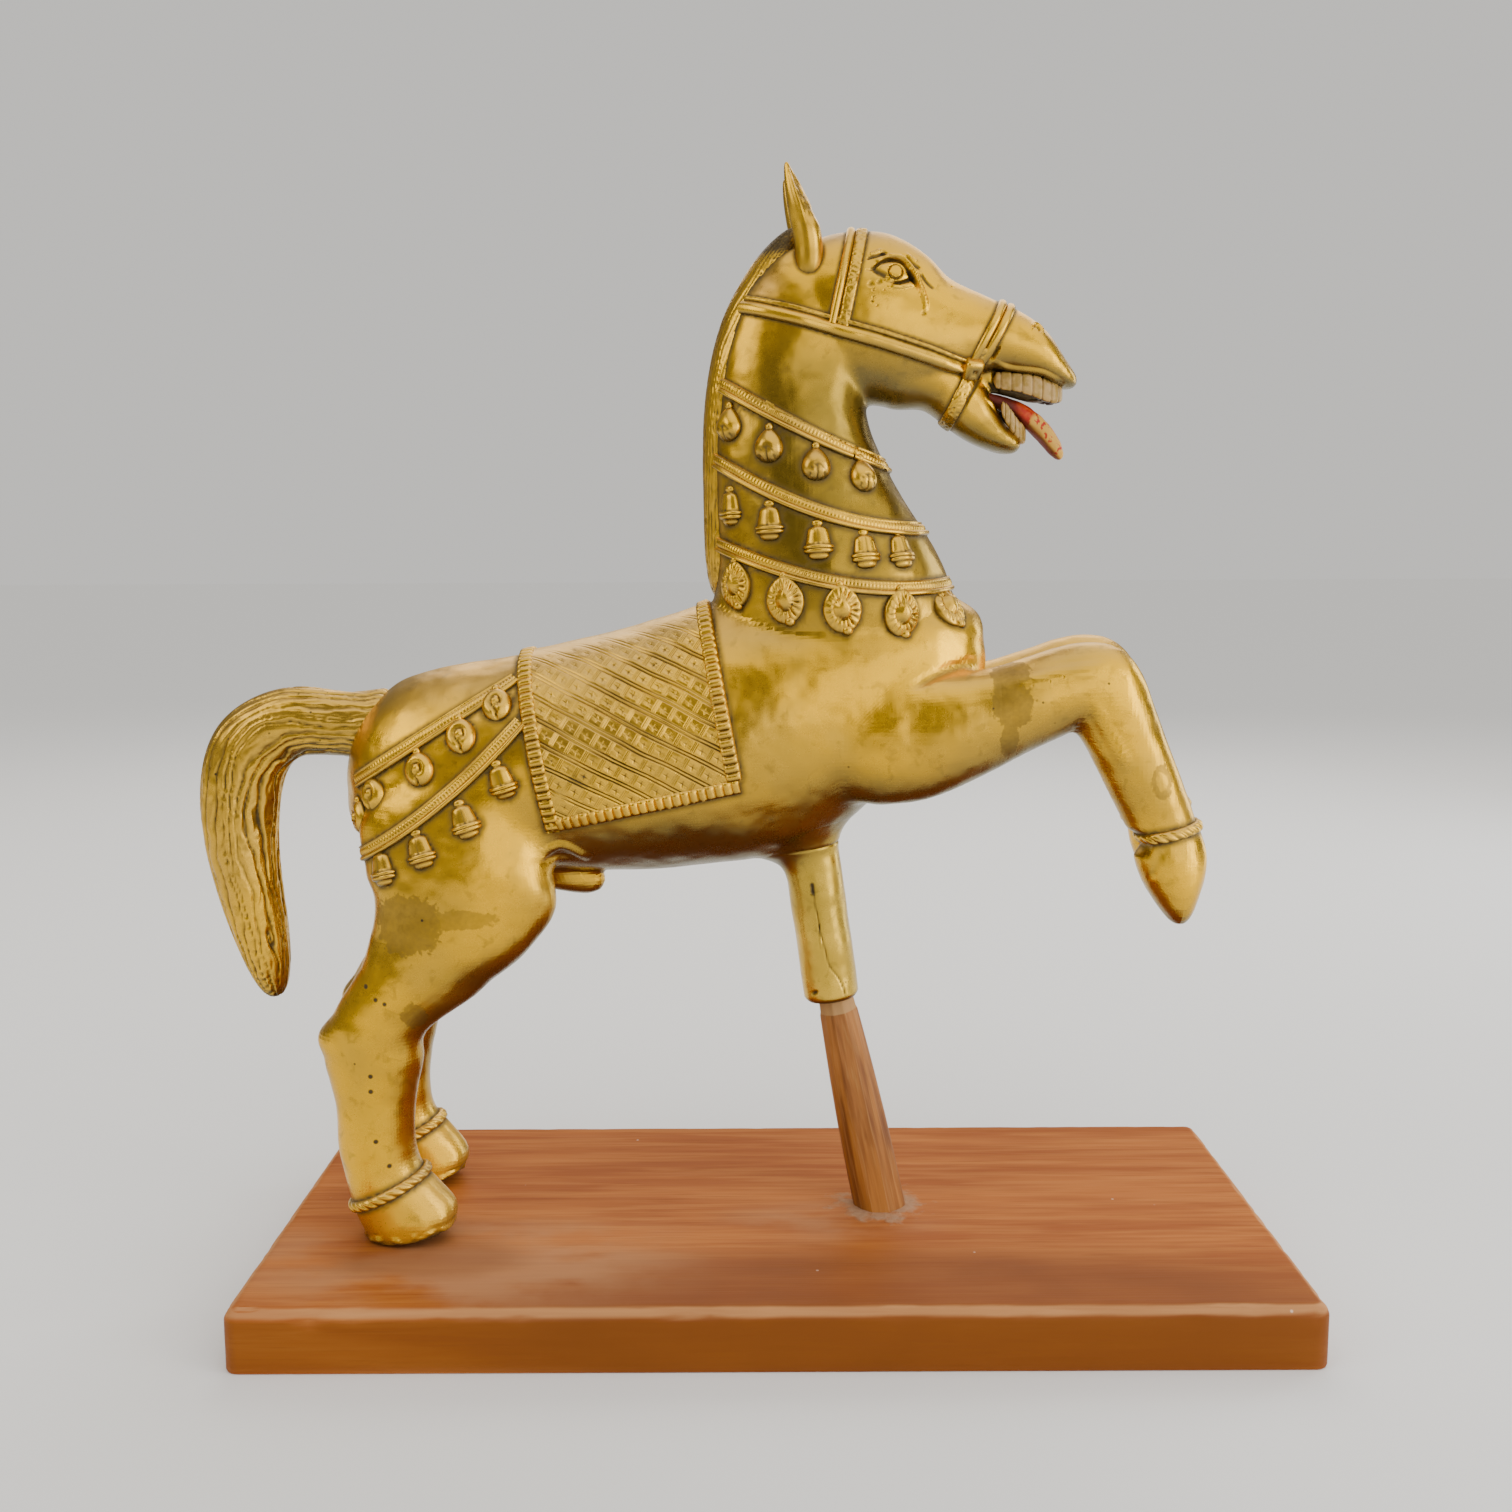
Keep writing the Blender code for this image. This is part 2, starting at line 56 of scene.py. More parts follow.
TORSO = (
    (-239, 0, 305, 18, 15), (-225, 0, 302, 42, 36), (-203, 0, 294, 55, 47),
    (-170, 0, 294.5, 58, 53), (-130, 0, 297, 61.5, 56), (-84, 0, 301, 67, 57),
    (-40, 0, 308, 71, 57), (0, 0, 319, 75, 56), (34, 0, 337, 62, 52),
    (67, 0, 347, 53, 46), (99, 0, 357, 40, 34), (118, 0, 357, 17, 16),
)
NECK = (
    (36, 0, 345, 74, 44), (30, 0, 396, 66, 46), (18, 0, 430, 52, 41), (10, 0, 464, 45, 35),
    (6, 0, 496, 42, 31), (14, 0, 530, 41, 28), (19, 0, 556, 36, 25), (26, 0, 575, 18, 14),
)
FORELEG = (
    (26, 30, 312, 34, 18), (60, 32, 312, 39, 22), (95, 35, 317, 31.5, 21),
    (128, 36, 328.5, 23.5, 19), (154, 36, 340, 24.5, 18), (174, 36, 345, 29, 18),
    (186, 36, 318, 20.5, 17), (198, 36, 291, 19.5, 16), (208, 36, 270, 18.5, 15),
    (212.5, 36, 258, 18.5, 16), (216.5, 36, 243, 20, 18), (219, 36, 224, 13, 15),
    (221, 36, 209, 3, 7),
)
HIND_LEG = (
    (-186, 30, 303, 40, 22), (-176, 33, 268, 50, 27), (-173, 36, 238, 53, 27),
    (-175, 38, 211, 46, 25), (-195.5, 40, 186, 28.5, 22), (-218.5, 40, 163, 23.5, 20),
    (-224, 40, 143, 31.5, 19), (-223, 40, 120, 22, 18), (-223, 40, 92, 20, 17.5),
    (-221, 40, 72, 21, 17.5), (-216, 40, 60, 24, 18), (-207, 40, 47, 26, 19.5),
    (-198, 40, 30, 28, 21),
)
SHEATH = (
    (-135, 0, 238, 14, 12), (-120, 0, 231, 12, 11), (-106, 0, 229, 8, 8), (-98, 0, 230, 4, 5),
)


def pick(*pieces):
    """Leaves only these pieces selected, with the first one active."""
    bpy.ops.object.select_all(action="DESELECT")
    for piece in pieces:
        piece.select_set(True)
    bpy.context.view_layer.objects.active = pieces[0]


def blank(name, kind, **sizes):
    """A new plain solid or sheet, left as the only thing selected."""
    bpy.ops.object.select_all(action="DESELECT")
    getattr(bpy.ops.mesh, "primitive_" + kind + "_add")(**sizes)
    made = bpy.context.object
    made.name = made.data.name = name
    return made


@contextmanager
def opened(piece):
    """Opens one piece in edit mode with all of it selected, and closes it again."""
    pick(piece)
    bpy.ops.object.mode_set(mode="EDIT")
    bpy.ops.mesh.select_all(action="SELECT")
    yield
    bpy.ops.object.mode_set(mode="OBJECT")


def turn_outwards():
    """In edit mode, turns every face of a closed piece outwards."""
    bpy.ops.mesh.select_all(action="SELECT")
    bpy.ops.mesh.normals_make_consistent(inside=False)


def move_picked(piece, matrix):
    """In edit mode, moves the selected corners of a piece."""
    mesh = bmesh.from_edit_mesh(piece.data)
    bmesh.ops.transform(mesh, matrix=matrix, verts=[v for v in mesh.verts if v.select])
    bmesh.update_edit_mesh(piece.data)


def pick_faces(piece, wanted):
    """In edit mode, selects faces by the middle, in mm, and the normal of each."""
    bpy.ops.mesh.select_all(action="DESELECT")
    mesh = bmesh.from_edit_mesh(piece.data)
    for face in mesh.faces:
        face.select_set(bool(wanted(face.calc_center_median() / MM, face.normal)))
    bmesh.update_edit_mesh(piece.data)


def refine(piece, boxes):
    """Splits the faces in some boxes in four, where finer chasing comes."""
    with opened(piece):
        pick_faces(piece, lambda at, _: any(
            left <= at.x < right and low < at.z < high and abs(at.y) >= out
            for left, right, low, high, out in boxes))
        bpy.ops.mesh.subdivide(number_cuts=1, smoothness=0)


def shade(piece, degrees):
    """Shades a piece smooth, but for edges sharper than an angle."""
    pick(piece)
    bpy.ops.object.shade_smooth_by_angle(angle=math.radians(degrees))


def carry_out(piece, kind, **settings):
    """Adds a modifier to a piece and applies it."""
    pick(piece)
    modifier = piece.modifiers.new(kind.lower(), kind)
    for name, value in settings.items():
        setattr(modifier, name, value)
    bpy.ops.object.modifier_apply(modifier=modifier.name)


def loft(name, sections, sides=10, side=FAR, shift=0, levels=3):
    """A closed tube begun as a disc, extruded from section to section, then rounded off."""
    swell = 3 / (2 + math.cos(2 * math.pi / sides))
    centres = [Vector((x + shift, side * y, z)) * MM for x, y, z, _, _ in sections]
    tube = blank(name, "circle", vertices=sides, radius=1, fill_type="NGON")
    bpy.ops.object.mode_set(mode="EDIT")
    back = Matrix.Identity(4)
    for i, section in enumerate(sections):
        if i:
            bpy.ops.mesh.extrude_region_move()
        run = centres[min(i + 1, len(centres) - 1)] - centres[max(i - 1, 0)]
        run = Vector((run.x, 0, run.z)).normalized()
        depth = run.cross(SIDEWAYS) * section[3] * swell * MM
        width = SIDEWAYS * section[4] * swell * MM
        place = Matrix.Translation(centres[i]) @ Matrix((width, depth, run)).transposed().to_4x4()
        move_picked(tube, place @ back)
        back = place.inverted()
    turn_outwards()
    bpy.ops.object.mode_set(mode="OBJECT")
    carry_out(tube, "SUBSURF", levels=levels, render_levels=levels)
    return tube


def run_together(name, tubes, voxel, rounds):
    """Joins overlapping closed tubes into one skin and eases it."""
    pick(*tubes)
    bpy.ops.object.join()
    skin = bpy.context.object
    skin.name = skin.data.name = name
    carry_out(skin, "REMESH", mode="VOXEL", voxel_size=voxel * MM)
    carry_out(skin, "SMOOTH", factor=0.5, iterations=rounds)
    return skin


def corners_of(piece):
    """The piece's corner points and their normals, in mm, as two arrays."""
    count = len(piece.data.vertices)
    points, normals = np.zeros(count * 3, np.float32), np.zeros(count * 3, np.float32)
    piece.data.vertices.foreach_get("co", points)
    piece.data.vertex_normals.foreach_get("vector", normals)
    return points.reshape(-1, 3).astype(float) / MM, normals.reshape(-1, 3).astype(float)


def set_corners(piece, points):
    piece.data.vertices.foreach_set("co", (points * MM).astype(np.float32).ravel())
    piece.data.update()


def slice_off(piece, point, normal, closed=True):
    """Cuts a piece by a plane, drops what the normal points to, and may close the cut."""
    with opened(piece):
        bpy.ops.mesh.bisect(plane_co=Vector(point) * MM, plane_no=normal,
                            clear_outer=True, use_fill=closed)


def run_along(stops):
    """How far along a line each of its stops lies."""
    return np.concatenate([[0], np.cumsum(np.linalg.norm(np.diff(stops, axis=0), axis=1))])


def from_line(points, stops):
    """How far each point is from a line of stops, and how far along it, from 0 to 1."""
    stops = np.array(stops, float)
    reached = run_along(stops)
    best = np.full(len(points), 1e9)
    along = np.zeros(len(points))
    for start, step, before in zip(stops, np.diff(stops, axis=0), reached):
        length = np.linalg.norm(step)
        part = np.clip(((points - start) @ step) / length ** 2, 0, 1)
        away = np.linalg.norm(points - start - part[:, None] * step, axis=1)
        closer = away < best
        best[closer] = away[closer]
        along[closer] = (before + part[closer] * length) / reached[-1]
    return best, along


def hump(distance, reach):
    """A smooth hump: 1 at distance 0, falling to 0 at the reach."""
    return np.clip(1 - (distance / reach) ** 2, 0, 1) ** 2


def rounded_path(stops, rounds=2):
    """The stops with their corners cut, so that a line through them bends smoothly."""
    path = [np.array(stop, float) for stop in stops]
    for _ in range(rounds):
        cut = [path[0]]
        for start, end in zip(path, path[1:]):
            cut += [start * 0.75 + end * 0.25, start * 0.25 + end * 0.75]
        path = cut + [path[-1]]
    return path


def lumps(points, fineness, seed=(0, 0, 0)):
    """Smooth noise from -1 to 1 at each point; the fineness is lumps in a mm."""
    return np.array([noise.noise(Vector(point) * fineness + Vector(seed)) for point in points])


def soil(piece, amount, name="grime"):
    """Stores a number from 0 to 1 at each corner point, such as how much grime, and in places
    painted shade, lies there.
    """
    layer = piece.data.attributes.get(name) or piece.data.attributes.new(name, "FLOAT", "POINT")
    layer.data.foreach_set("value", np.clip(amount, 0, 1).astype(np.float32))


def uneven(piece, *waves):
    """Leaves the soft dents of file and scraper: pairs of their size and depth in mm."""
    points, normals = corners_of(piece)
    for size, depth in waves:
        points += normals * (depth * lumps(points, 1 / size))[:, None]
    set_corners(piece, points)


def ease(piece, centre, reach, rounds):
    """Rubs the skin smooth round one place, most at its middle."""
    points, _ = corners_of(piece)
    near = 1 - np.linalg.norm(points - np.array(centre), axis=1) / reach
    group = piece.vertex_groups.new(name="eased")
    for i in np.nonzero(near > 0)[0]:
        group.add([int(i)], float(min(1.0, 2 * near[i])), "REPLACE")
    carry_out(piece, "SMOOTH", factor=0.6, iterations=rounds, vertex_group=group.name)
    piece.vertex_groups.clear()


class Signal:
    """A number that varies over a surface; arithmetic on it adds Math nodes."""

    def __init__(self, finish, socket):
        self.finish, self.socket = finish, socket

    def math(self, operation, *values):
        return self.finish.node("Math", {"operation": operation}, dict(enumerate(values)))

    def __add__(self, other):
        return self.math("ADD", self, other)

    def __sub__(self, other):
        return self.math("SUBTRACT", self, other)

    def __rsub__(self, other):
        return self.math("SUBTRACT", other, self)

    def __mul__(self, other):
        return self.math("MULTIPLY", self, other)

    def __abs__(self):
        return self.math("ABSOLUTE", self)

    __radd__, __rmul__ = __add__, __mul__

    def rise(self, low, high):
        """0 below one value and 1 above another, with a soft step between."""
        return self.finish.node("MapRange", {"interpolation_type": "SMOOTHSTEP"},
                                {"Value": self, "From Min": low, "From Max": high})


class Finish:
    """A surface finish; what doesn't vary is set on the shader's own sockets."""

    def __init__(self, name, **fixed):
        self.material = bpy.data.materials.new(name)
        self.material.use_nodes = True
        self.tree = self.material.node_tree
        self.shader = self.tree.nodes["Principled BSDF"]
        for socket, value in fixed.items():
            self.shader.inputs[socket.replace("_", " ")].default_value = value
        self.place = self.node("TexCoord", output="Object")
        self.facing = self.node("NewGeometry", output="Normal")

    def node(self, kind, settings=(), inputs=(), output=0):
        """Adds a node: its settings first, then the values or links of its sockets."""
        made = self.tree.nodes.new("ShaderNode" + kind)
        for name, value in dict(settings).items():
            setattr(made, name, value)
        for socket, value in dict(inputs).items():
            if isinstance(value, Signal):
                self.tree.links.new(value.socket, made.inputs[socket])
            else:
                made.inputs[socket].default_value = value
        return Signal(self, made.outputs[output])

    def cloud(self, size, detail=2.0, stretch=(1, 1, 1), turned=0.0, seed=0.0, distortion=0.0):
        """Soft noise with lumps of a size in mm, drawn out along X, Y or Z after a turn."""
        where = self.node("Mapping", {"vector_type": "TEXTURE"}, {
            "Vector": self.place, "Location": (seed, seed * 0.7, seed * 1.3),
            "Rotation": (0, turned, 0), "Scale": stretch})
        return self.node("TexNoise", inputs={"Vector": where, "Scale": 1 / (size * MM),
                                             "Detail": detail, "Distortion": distortion})

    def specks(self, apart, low, high):
        """Round specks about so many mm apart: 1 in each and 0 outside."""
        away = self.node("TexVoronoi", {"feature": "F1"}, {
            "Vector": self.place, "Scale": 1 / (apart * MM), "Randomness": 1.0}, "Distance")
        return 1 - away.rise(low, high)

    def near(self, centre, reach, squash=(1, 1, 1)):
        """1 at a place in mm, falling to 0 at its reach."""
        where = self.node("Mapping", {"vector_type": "TEXTURE"}, {
            "Vector": self.place, "Location": [part * MM for part in centre],
            "Scale": [part * reach * MM for part in squash]})
        return 1 - self.node("VectorMath", {"operation": "LENGTH"}, {0: where}, "Value")

    def towards(self, direction):
        """How far the surface faces a direction, from -1 to 1."""
        return self.node("VectorMath", {"operation": "DOT_PRODUCT"},
                         {0: self.facing, 1: direction}, "Value")

    def mark(self, name):
        """A number stored at the piece's corner points."""
        return self.node("Attribute", {"attribute_name": name}, output="Fac")

    def tint(self, amount, below, above):
        """Lays one colour over another."""
        below, above = [colour if isinstance(colour, Signal) else (*colour, 1)
                        for colour in (below, above)]
        return self.node("Mix", {"data_type": "RGBA"}, {0: amount, 6: below, 7: above}, 2)

    def relief(self, height, depth, below=None):
        """Bumps of a height signal, its full swing being a depth in mm."""
        inputs = {"Height": height, "Distance": depth * MM, "Strength": 1.0}
        if below:
            inputs["Normal"] = below
        return self.node("Bump", inputs=inputs)

    def feed(self, **signals):
        for socket, signal in signals.items():
            self.tree.links.new(signal.socket, self.shader.inputs[socket.replace("_", " ")])


def brass(name, bright, worn, brown, stains=(), pits=(), tones=()):
    """Old polished brass: mottled, with dust and a painted sheen on top, painted shade below and
    towards the board, and brown where the cloth never reaches.
    """
    finish = Finish(name)
    grime = finish.mark("grime")
    broad = finish.cloud(60, detail=3, seed=2.0)
    patchy = finish.cloud(17, detail=4, seed=5.0)
    smudged = finish.cloud(7, detail=3, seed=6.0, distortion=0.5)
    fine = finish.cloud(2.2, detail=3, seed=8.0)
    dented = finish.cloud(27, detail=2, seed=4.0)
    scratched = finish.cloud(1.4, detail=2, stretch=(9, 1, 2.5), turned=0.5, seed=3.0)
    colour = finish.tint(broad.rise(0.38, 0.66), bright, worn)
    colour = finish.tint(patchy.rise(0.46, 0.74) * 0.4, colour, worn)
    # Tones in places: polish with painted highlights, painted shade, and dust.
    for centre, reach, squash, strength, tone in tones:
        spread = finish.near(centre, reach, squash).rise(0, 0.7)
        colour = finish.tint(spread * strength * (0.7 + 0.6 * patchy), colour, tone)
    colour = finish.tint(smudged.rise(0.56, 0.74) * 0.3, colour, brown)
    # Dust lies on the upturned faces, and a painted sheen lightens them as well.
    above = finish.towards((0, 0, 1)).rise(0.35, 0.95)
    colour = finish.tint(above * (0.25 + 0.3 * patchy), colour, DUST_AND_SHEEN_BRASS)
    # Painted shade: the brass is darkened on its undersides, on faces turned to the board near it,
    # and round the foot of the hooves.
    below = finish.towards((0, 0, -1)).rise(-0.05, 0.8)
    by_board = finish.near((-190, 0, 34), 250, (1.8, 4, 1)).rise(0, 0.45)
    board_facing_shade = finish.towards((0.9, 0, -0.45)).rise(0.25, 0.85) * by_board
    foot = finish.near((-215, 0, 34), 7, (29, 29, 1)).rise(0, 0.6)
    colour = finish.tint(below * 0.9, colour, SHADED_BRASS)
    colour = finish.tint(board_facing_shade * 0.5, colour, SHADED_BRASS)
    colour = finish.tint(foot * 0.6, colour, SHADED_BRASS)
    hooves = finish.near((-195, 0, 50), 44, (1.4, 4, 1)).rise(0, 0.6)
    # The grime mark holds grime and also painted shade, by the harness and in the mouth; with the
    # stains it turns the brass brown and, where deepest, near black.
    stains_and_shade = grime
    for centre, reach, squash, strength, hollow in stains:
        edge = finish.near(centre, reach, squash) + (smudged - 0.5) * 0.6 + (fine - 0.5) * 0.5
        patch = edge.rise(0.04, 0.20) * strength
        if hollow:
            patch = patch * (1 - hollow * edge.rise(0.45, 0.65))
        stains_and_shade = stains_and_shade.math("MAXIMUM", stains_and_shade, patch)
    for place in pits:
        stains_and_shade = stains_and_shade + finish.near(place, 2.4, (1, 4, 1)).rise(0.2, 0.7)
    stains_and_shade = stains_and_shade + finish.specks(15, 0.028, 0.062) * broad.rise(0.44, 0.56) * 0.8
    stains_and_shade = stains_and_shade * (0.8 + 0.4 * fine)
    colour = finish.tint(stains_and_shade.rise(0.04, 0.95), colour, brown)
    colour = finish.tint(stains_and_shade.rise(0.65, 1.2) * 0.8, colour, DEEP_GRIME_AND_SHADE)
    rough = 0.15 + 0.16 * patchy + 0.1 * fine + 0.12 * above + 0.22 * stains_and_shade.rise(0.1, 0.9)
    finish.feed(Base_Color=colour, Roughness=rough,
                Metallic=1 - 0.45 * stains_and_shade.rise(0.35, 1.0) - 0.4 * hooves,
                Normal=finish.relief(scratched, 0.02, finish.relief(dented, 2.0)))
    return finish


def belongs(piece, finish, node):
    """Gives a piece its finish and lets it stand for its node of the frame."""
    piece.data.materials.clear()
    piece.data.materials.append(finish.material)
    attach(piece, "root")
    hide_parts(node)


BRIGHT_BRASS = (0.80, 0.438, 0.010)
WORN_BRASS = (0.60, 0.35, 0.030)
DUST_AND_SHEEN_BRASS = (0.70, 0.48, 0.20)
BROWN_PATINA = (0.12, 0.080, 0.022)
SHADED_BRASS = (0.105, 0.098, 0.055)
DUSTY_BROWN = (0.36, 0.22, 0.10)
PAINTED_SHADE_BRASS = (0.26, 0.17, 0.022)
POLISH_AND_HIGHLIGHT_BRASS = (1.0, 0.55, 0.004)
# Polish where hands have kept the brass bright, with painted highlights, painted shade where it
# is darker, and dust where hands never reach: centre in mm, reach, spread, strength and tone
TONES = (
    ((32, 0, 450), 120, (0.72, 4, 1), 0.9, PAINTED_SHADE_BRASS),
    ((46, 0, 492), 34, (1.2, 4, 0.7), 0.7, PAINTED_SHADE_BRASS),
    ((112, 0, 474), 20, (1.4, 4, 0.7), 0.6, PAINTED_SHADE_BRASS),
    ((-60, 0, 258), 34, (2.6, 4, 0.8), 0.75, PAINTED_SHADE_BRASS),
    ((50, 0, 280), 40, (1.6, 4, 0.7), 0.5, PAINTED_SHADE_BRASS),
    ((-165, 0, 185), 26, (1.3, 4, 0.7), 0.5, PAINTED_SHADE_BRASS),
    ((36, 0, 590), 30, (1.8, 4, 0.6), 0.85, DUSTY_BROWN),
    ((-12, 0, 560), 24, (1, 4, 1.3), 0.6, DUSTY_BROWN),
    ((76, 0, 548), 44, (1.2, 4, 0.8), 0.8, POLISH_AND_HIGHLIGHT_BRASS),
    ((141, 0, 522), 24, (1, 4, 1), 0.6, POLISH_AND_HIGHLIGHT_BRASS),
    ((85, 0, 350), 46, (1, 4, 0.8), 0.6, POLISH_AND_HIGHLIGHT_BRASS),
    ((184, 0, 345), 34, (1, 4, 1), 0.7, POLISH_AND_HIGHLIGHT_BRASS),
    ((218, 0, 236), 28, (1, 4, 1.2), 0.8, POLISH_AND_HIGHLIGHT_BRASS),
    ((-215, 0, 60), 60, (1, 4, 1.2), 0.6, POLISH_AND_HIGHLIGHT_BRASS),
    ((-190, 0, 300), 60, (1, 4, 1), 0.35, POLISH_AND_HIGHLIGHT_BRASS),
)
DEEP_GRIME_AND_SHADE = (0.030, 0.017, 0.005)
# Places in mm where old solder or wet left the brass brown: reach, spread, strength, and
# how clean the middle is
STAINS = (
    ((123, -50, 350), 13, (1, 1.4, 0.8), 0.52, 0), ((124, -54, 333), 15, (0.85, 1, 0.95), 0.52, 0),
    ((123, -52, 315), 11, (0.55, 1.2, 1.2), 0.5, 0),
    ((-198, -60, 217), 25, (0.9, 1.2, 0.8), 0.5, 0),
    ((-170, -64, 220), 20, (1.3, 1, 0.32), 0.44, 0), ((-196, -58, 166), 8, (1, 2, 1.1), 0.5, 0),
    ((205, -52, 291), 9.5, (0.75, 2, 1.15), 0.5, 0.5),
    ((120, 48, 334), 15, (0.9, 1.2, 1.3), 0.44, 0), ((-176, 62, 222), 24, (1.2, 1, 0.7), 0.44, 0),
    ((2, -4, 583), 12, (1.2, 1.6, 0.6), 0.8, 0), ((-5, -4, 574), 9, (1, 1.6, 1), 0.6, 0),
)
CAST_PITS = (
    (-220.7, -58, 132.8), (-221, -58, 124.1), (-213, -57, 80.9), (-216, -58, 175.9),
    (-211.1, -58, 173.7), (-222, -56, 182.3), (-219.5, -57, 95.4), (-227, 58, 118),
    (-219, 58, 156),
)

# Where the head's casting meets the neck's, under the top neck band, and how far both pass it
NECK_CUT = ((7, 0, 484.5), (0.4597, 0, 0.8881))
NECK_OVERLAP = 1.2
# Last touches to the outline: where, how far round, and how far ahead and up
TOUCHES = (
    ((-253, 151), (20, 13), (-4.0, 0)), ((-248, 88), (16, 26), (-3.0, 0)),
    ((-226, 210), (22, 24), (-4.0, 0)), ((-232, 264), (20, 20), (-4.5, 0)),
    ((-118, 218), (26, 27), (7.0, 0)), ((-156, 183), (26, 17), (-3.0, 0)),
    ((112, 383), (16, 22), (4.5, 0)), ((2, 240), (16, 12), (0, -3.5)),
    ((191, 256), (13, 9), (6.5, 0)),
)
# A point of each pair of soles, and the way it faces
HIND_SOLE = ((-225, 0, HOOF_SOLE), (0.135, 0, -0.9908))
FORE_SOLE = ((199.5, 0, 233.2), (-0.88, 0, -0.475))
# Crests and creases as seen from the side: stops x and z, half width and height, grime in
# them, and how far the far leg's lie ahead of the near one's
CRESTS = (
    (((118, 343.5), (127.2, 345.1), (148.8, 348.5), (175.6, 352.5)),
     6, 1.1, 0.0, FAR_FORELEG_AHEAD),
    (((165, 336), (168.9, 330.2), (177.9, 313.4), (188.2, 296.8)),
     5, 0.8, 0.0, FAR_FORELEG_AHEAD),
    (((70, 341), (76, 344.3), (91.2, 350.7), (109.6, 355.4)),
     4, -1.3, 0.5, FAR_FORELEG_AHEAD),
    (((206.5, 256), (204.5, 247), (202, 236)), 3, -0.8, 0.3, FAR_FORELEG_AHEAD),
    (((-127, 252), (-121, 256), (-115, 256.7), (-109, 252.5), (-102, 247)), 3.6, 1.6, 0.0, 0),
    (((-128, 246), (-120, 250.5), (-112, 249)), 3, -1.0, 0.4, 0),
)
# Hollows rubbed smooth on both sides: x, y and z, reach, and rounds of rubbing
EASED = ((46, 46, 325, 52, 70), (48, 34, 300, 40, 40), (-160, 46, 262, 60, 60))
# Boxes with finer chasing: x from and to, z from and to, and how far out from the middle
HOOVES_AND_SHEATH = ((-300, 300, 0, 54, 0), (190, 300, 0, 258, 0), (-132, -98, 240, 262, 0))

limbs = [
    loft("torso", TORSO, sides=12, levels=4),
    loft("neck", NECK, sides=12, levels=4),
    loft("sheath", SHEATH),
]
for side in (NEAR, FAR):
    for sections, ahead in ((FORELEG, FAR_FORELEG_AHEAD), (HIND_LEG, -FAR_HIND_LEG_BEHIND)):
        limbs.append(loft("leg", sections, side=side, shift=ahead * (side == FAR)))
body = run_together("horse_body", limbs, 2.3, 6)
for x, y, z, reach, rounds in EASED:
    for side in (NEAR, FAR):
        ease(body, (x, side * y, z), reach, rounds)
slice_off(body, *HIND_SOLE)
slice_off(body, (NECK_CUT[0][0], 0, NECK_CUT[0][2] + NECK_OVERLAP), NECK_CUT[1])
refine(body, HOOVES_AND_SHEATH)
uneven(body, (30, 0.9), (12, 0.28))
points, normals = corners_of(body)
for (x, z), (long, tall), (ahead, up) in TOUCHES:
    touched = hump(points[:, 0] - x, long) * hump(points[:, 2] - z, tall)
    points += touched[:, None] * np.array((ahead, 0, up))
shift = np.where(points[:, 1] > 0, FAR_FORELEG_AHEAD, 0)
raised = (points[:, 0] > 190) & (points[:, 2] < 262)
sole = np.array(FORE_SOLE[1])
beyond = (points - np.array(FORE_SOLE[0])) @ sole - shift * sole[0]
points -= np.where(raised, np.maximum(beyond, 0), 0)[:, None] * sole
above_sole = -(points - np.array(HIND_SOLE[0])) @ np.array(HIND_SOLE[1])
ragged = lumps(points, 0.16)
lip = hump(above_sole - 2.8, 2.8) * np.clip(0.5 + 1.6 * ragged, 0, 1.4)
lip *= np.abs(normals[:, 2]) < 0.8
points += normals * (1.5 * lip)[:, None]
body_grime = 0.9 * hump(above_sole - 6.4, 1.5) * np.clip(0.2 + 1.6 * ragged, 0, 1)
facing = np.clip((np.abs(normals[:, 1]) - 0.15) / 0.3, 0, 1)
for stops, width, height, grime, ahead in CRESTS:
    seen = points[:, [0, 2]]
    seen[:, 0] -= ahead * (points[:, 1] > 0)
    away, along = from_line(seen, rounded_path(stops))
    shape = hump(away, width) * np.clip(np.minimum(along, 1 - along) / 0.2, 0, 1) * facing
    points += normals * (height * shape)[:, None]
    body_grime += grime * shape
set_corners(body, points)
body_brass = brass("worn_brass", BRIGHT_BRASS, WORN_BRASS, BROWN_PATINA, STAINS, CAST_PITS,
                   TONES)
belongs(body, body_brass, "horse")

# ---- The head ----------------------------------------------------------------------------
# The head was cast with the rest, but chased far more finely with punches and a graver:
# lids, brows, nostrils, lips. Its seam with the body lies under the top neck band.

HEAD = (
    (4, 0, 550, 24, 18), (22, 0, 546, 40, 27), (50, 0, 540, 47, 29), (76, 0, 529.5, 41.5, 27),
    (92, 0, 529, 31, 24), (106, 0, 529.5, 23.5, 21), (127, 0, 526.5, 18, 18),
    (143, 0, 519.5, 14, 17.5), (151.5, 0, 511.5, 8.6, 15), (165.5, 0, 502, 4.4, 9),
)
LOWER_JAW = (
    (54, 0, 512, 22, 22), (76, 0, 510, 20.5, 20), (90, 0, 506, 17.5, 18),
    (101.5, 0, 495, 16, 16), (109, 0, 485.2, 13, 15), (116.5, 0, 478.4, 10, 14),
    (126.7, 0, 471.6, 6.4, 12), (135, 0, 470.6, 4.4, 8),
)
PALATE = ((106, 0, 508, 6, 7), (128, 0, 505, 7.5, 8), (144, 0, 500.5, 8, 8), (151, 0, 498, 5, 4))

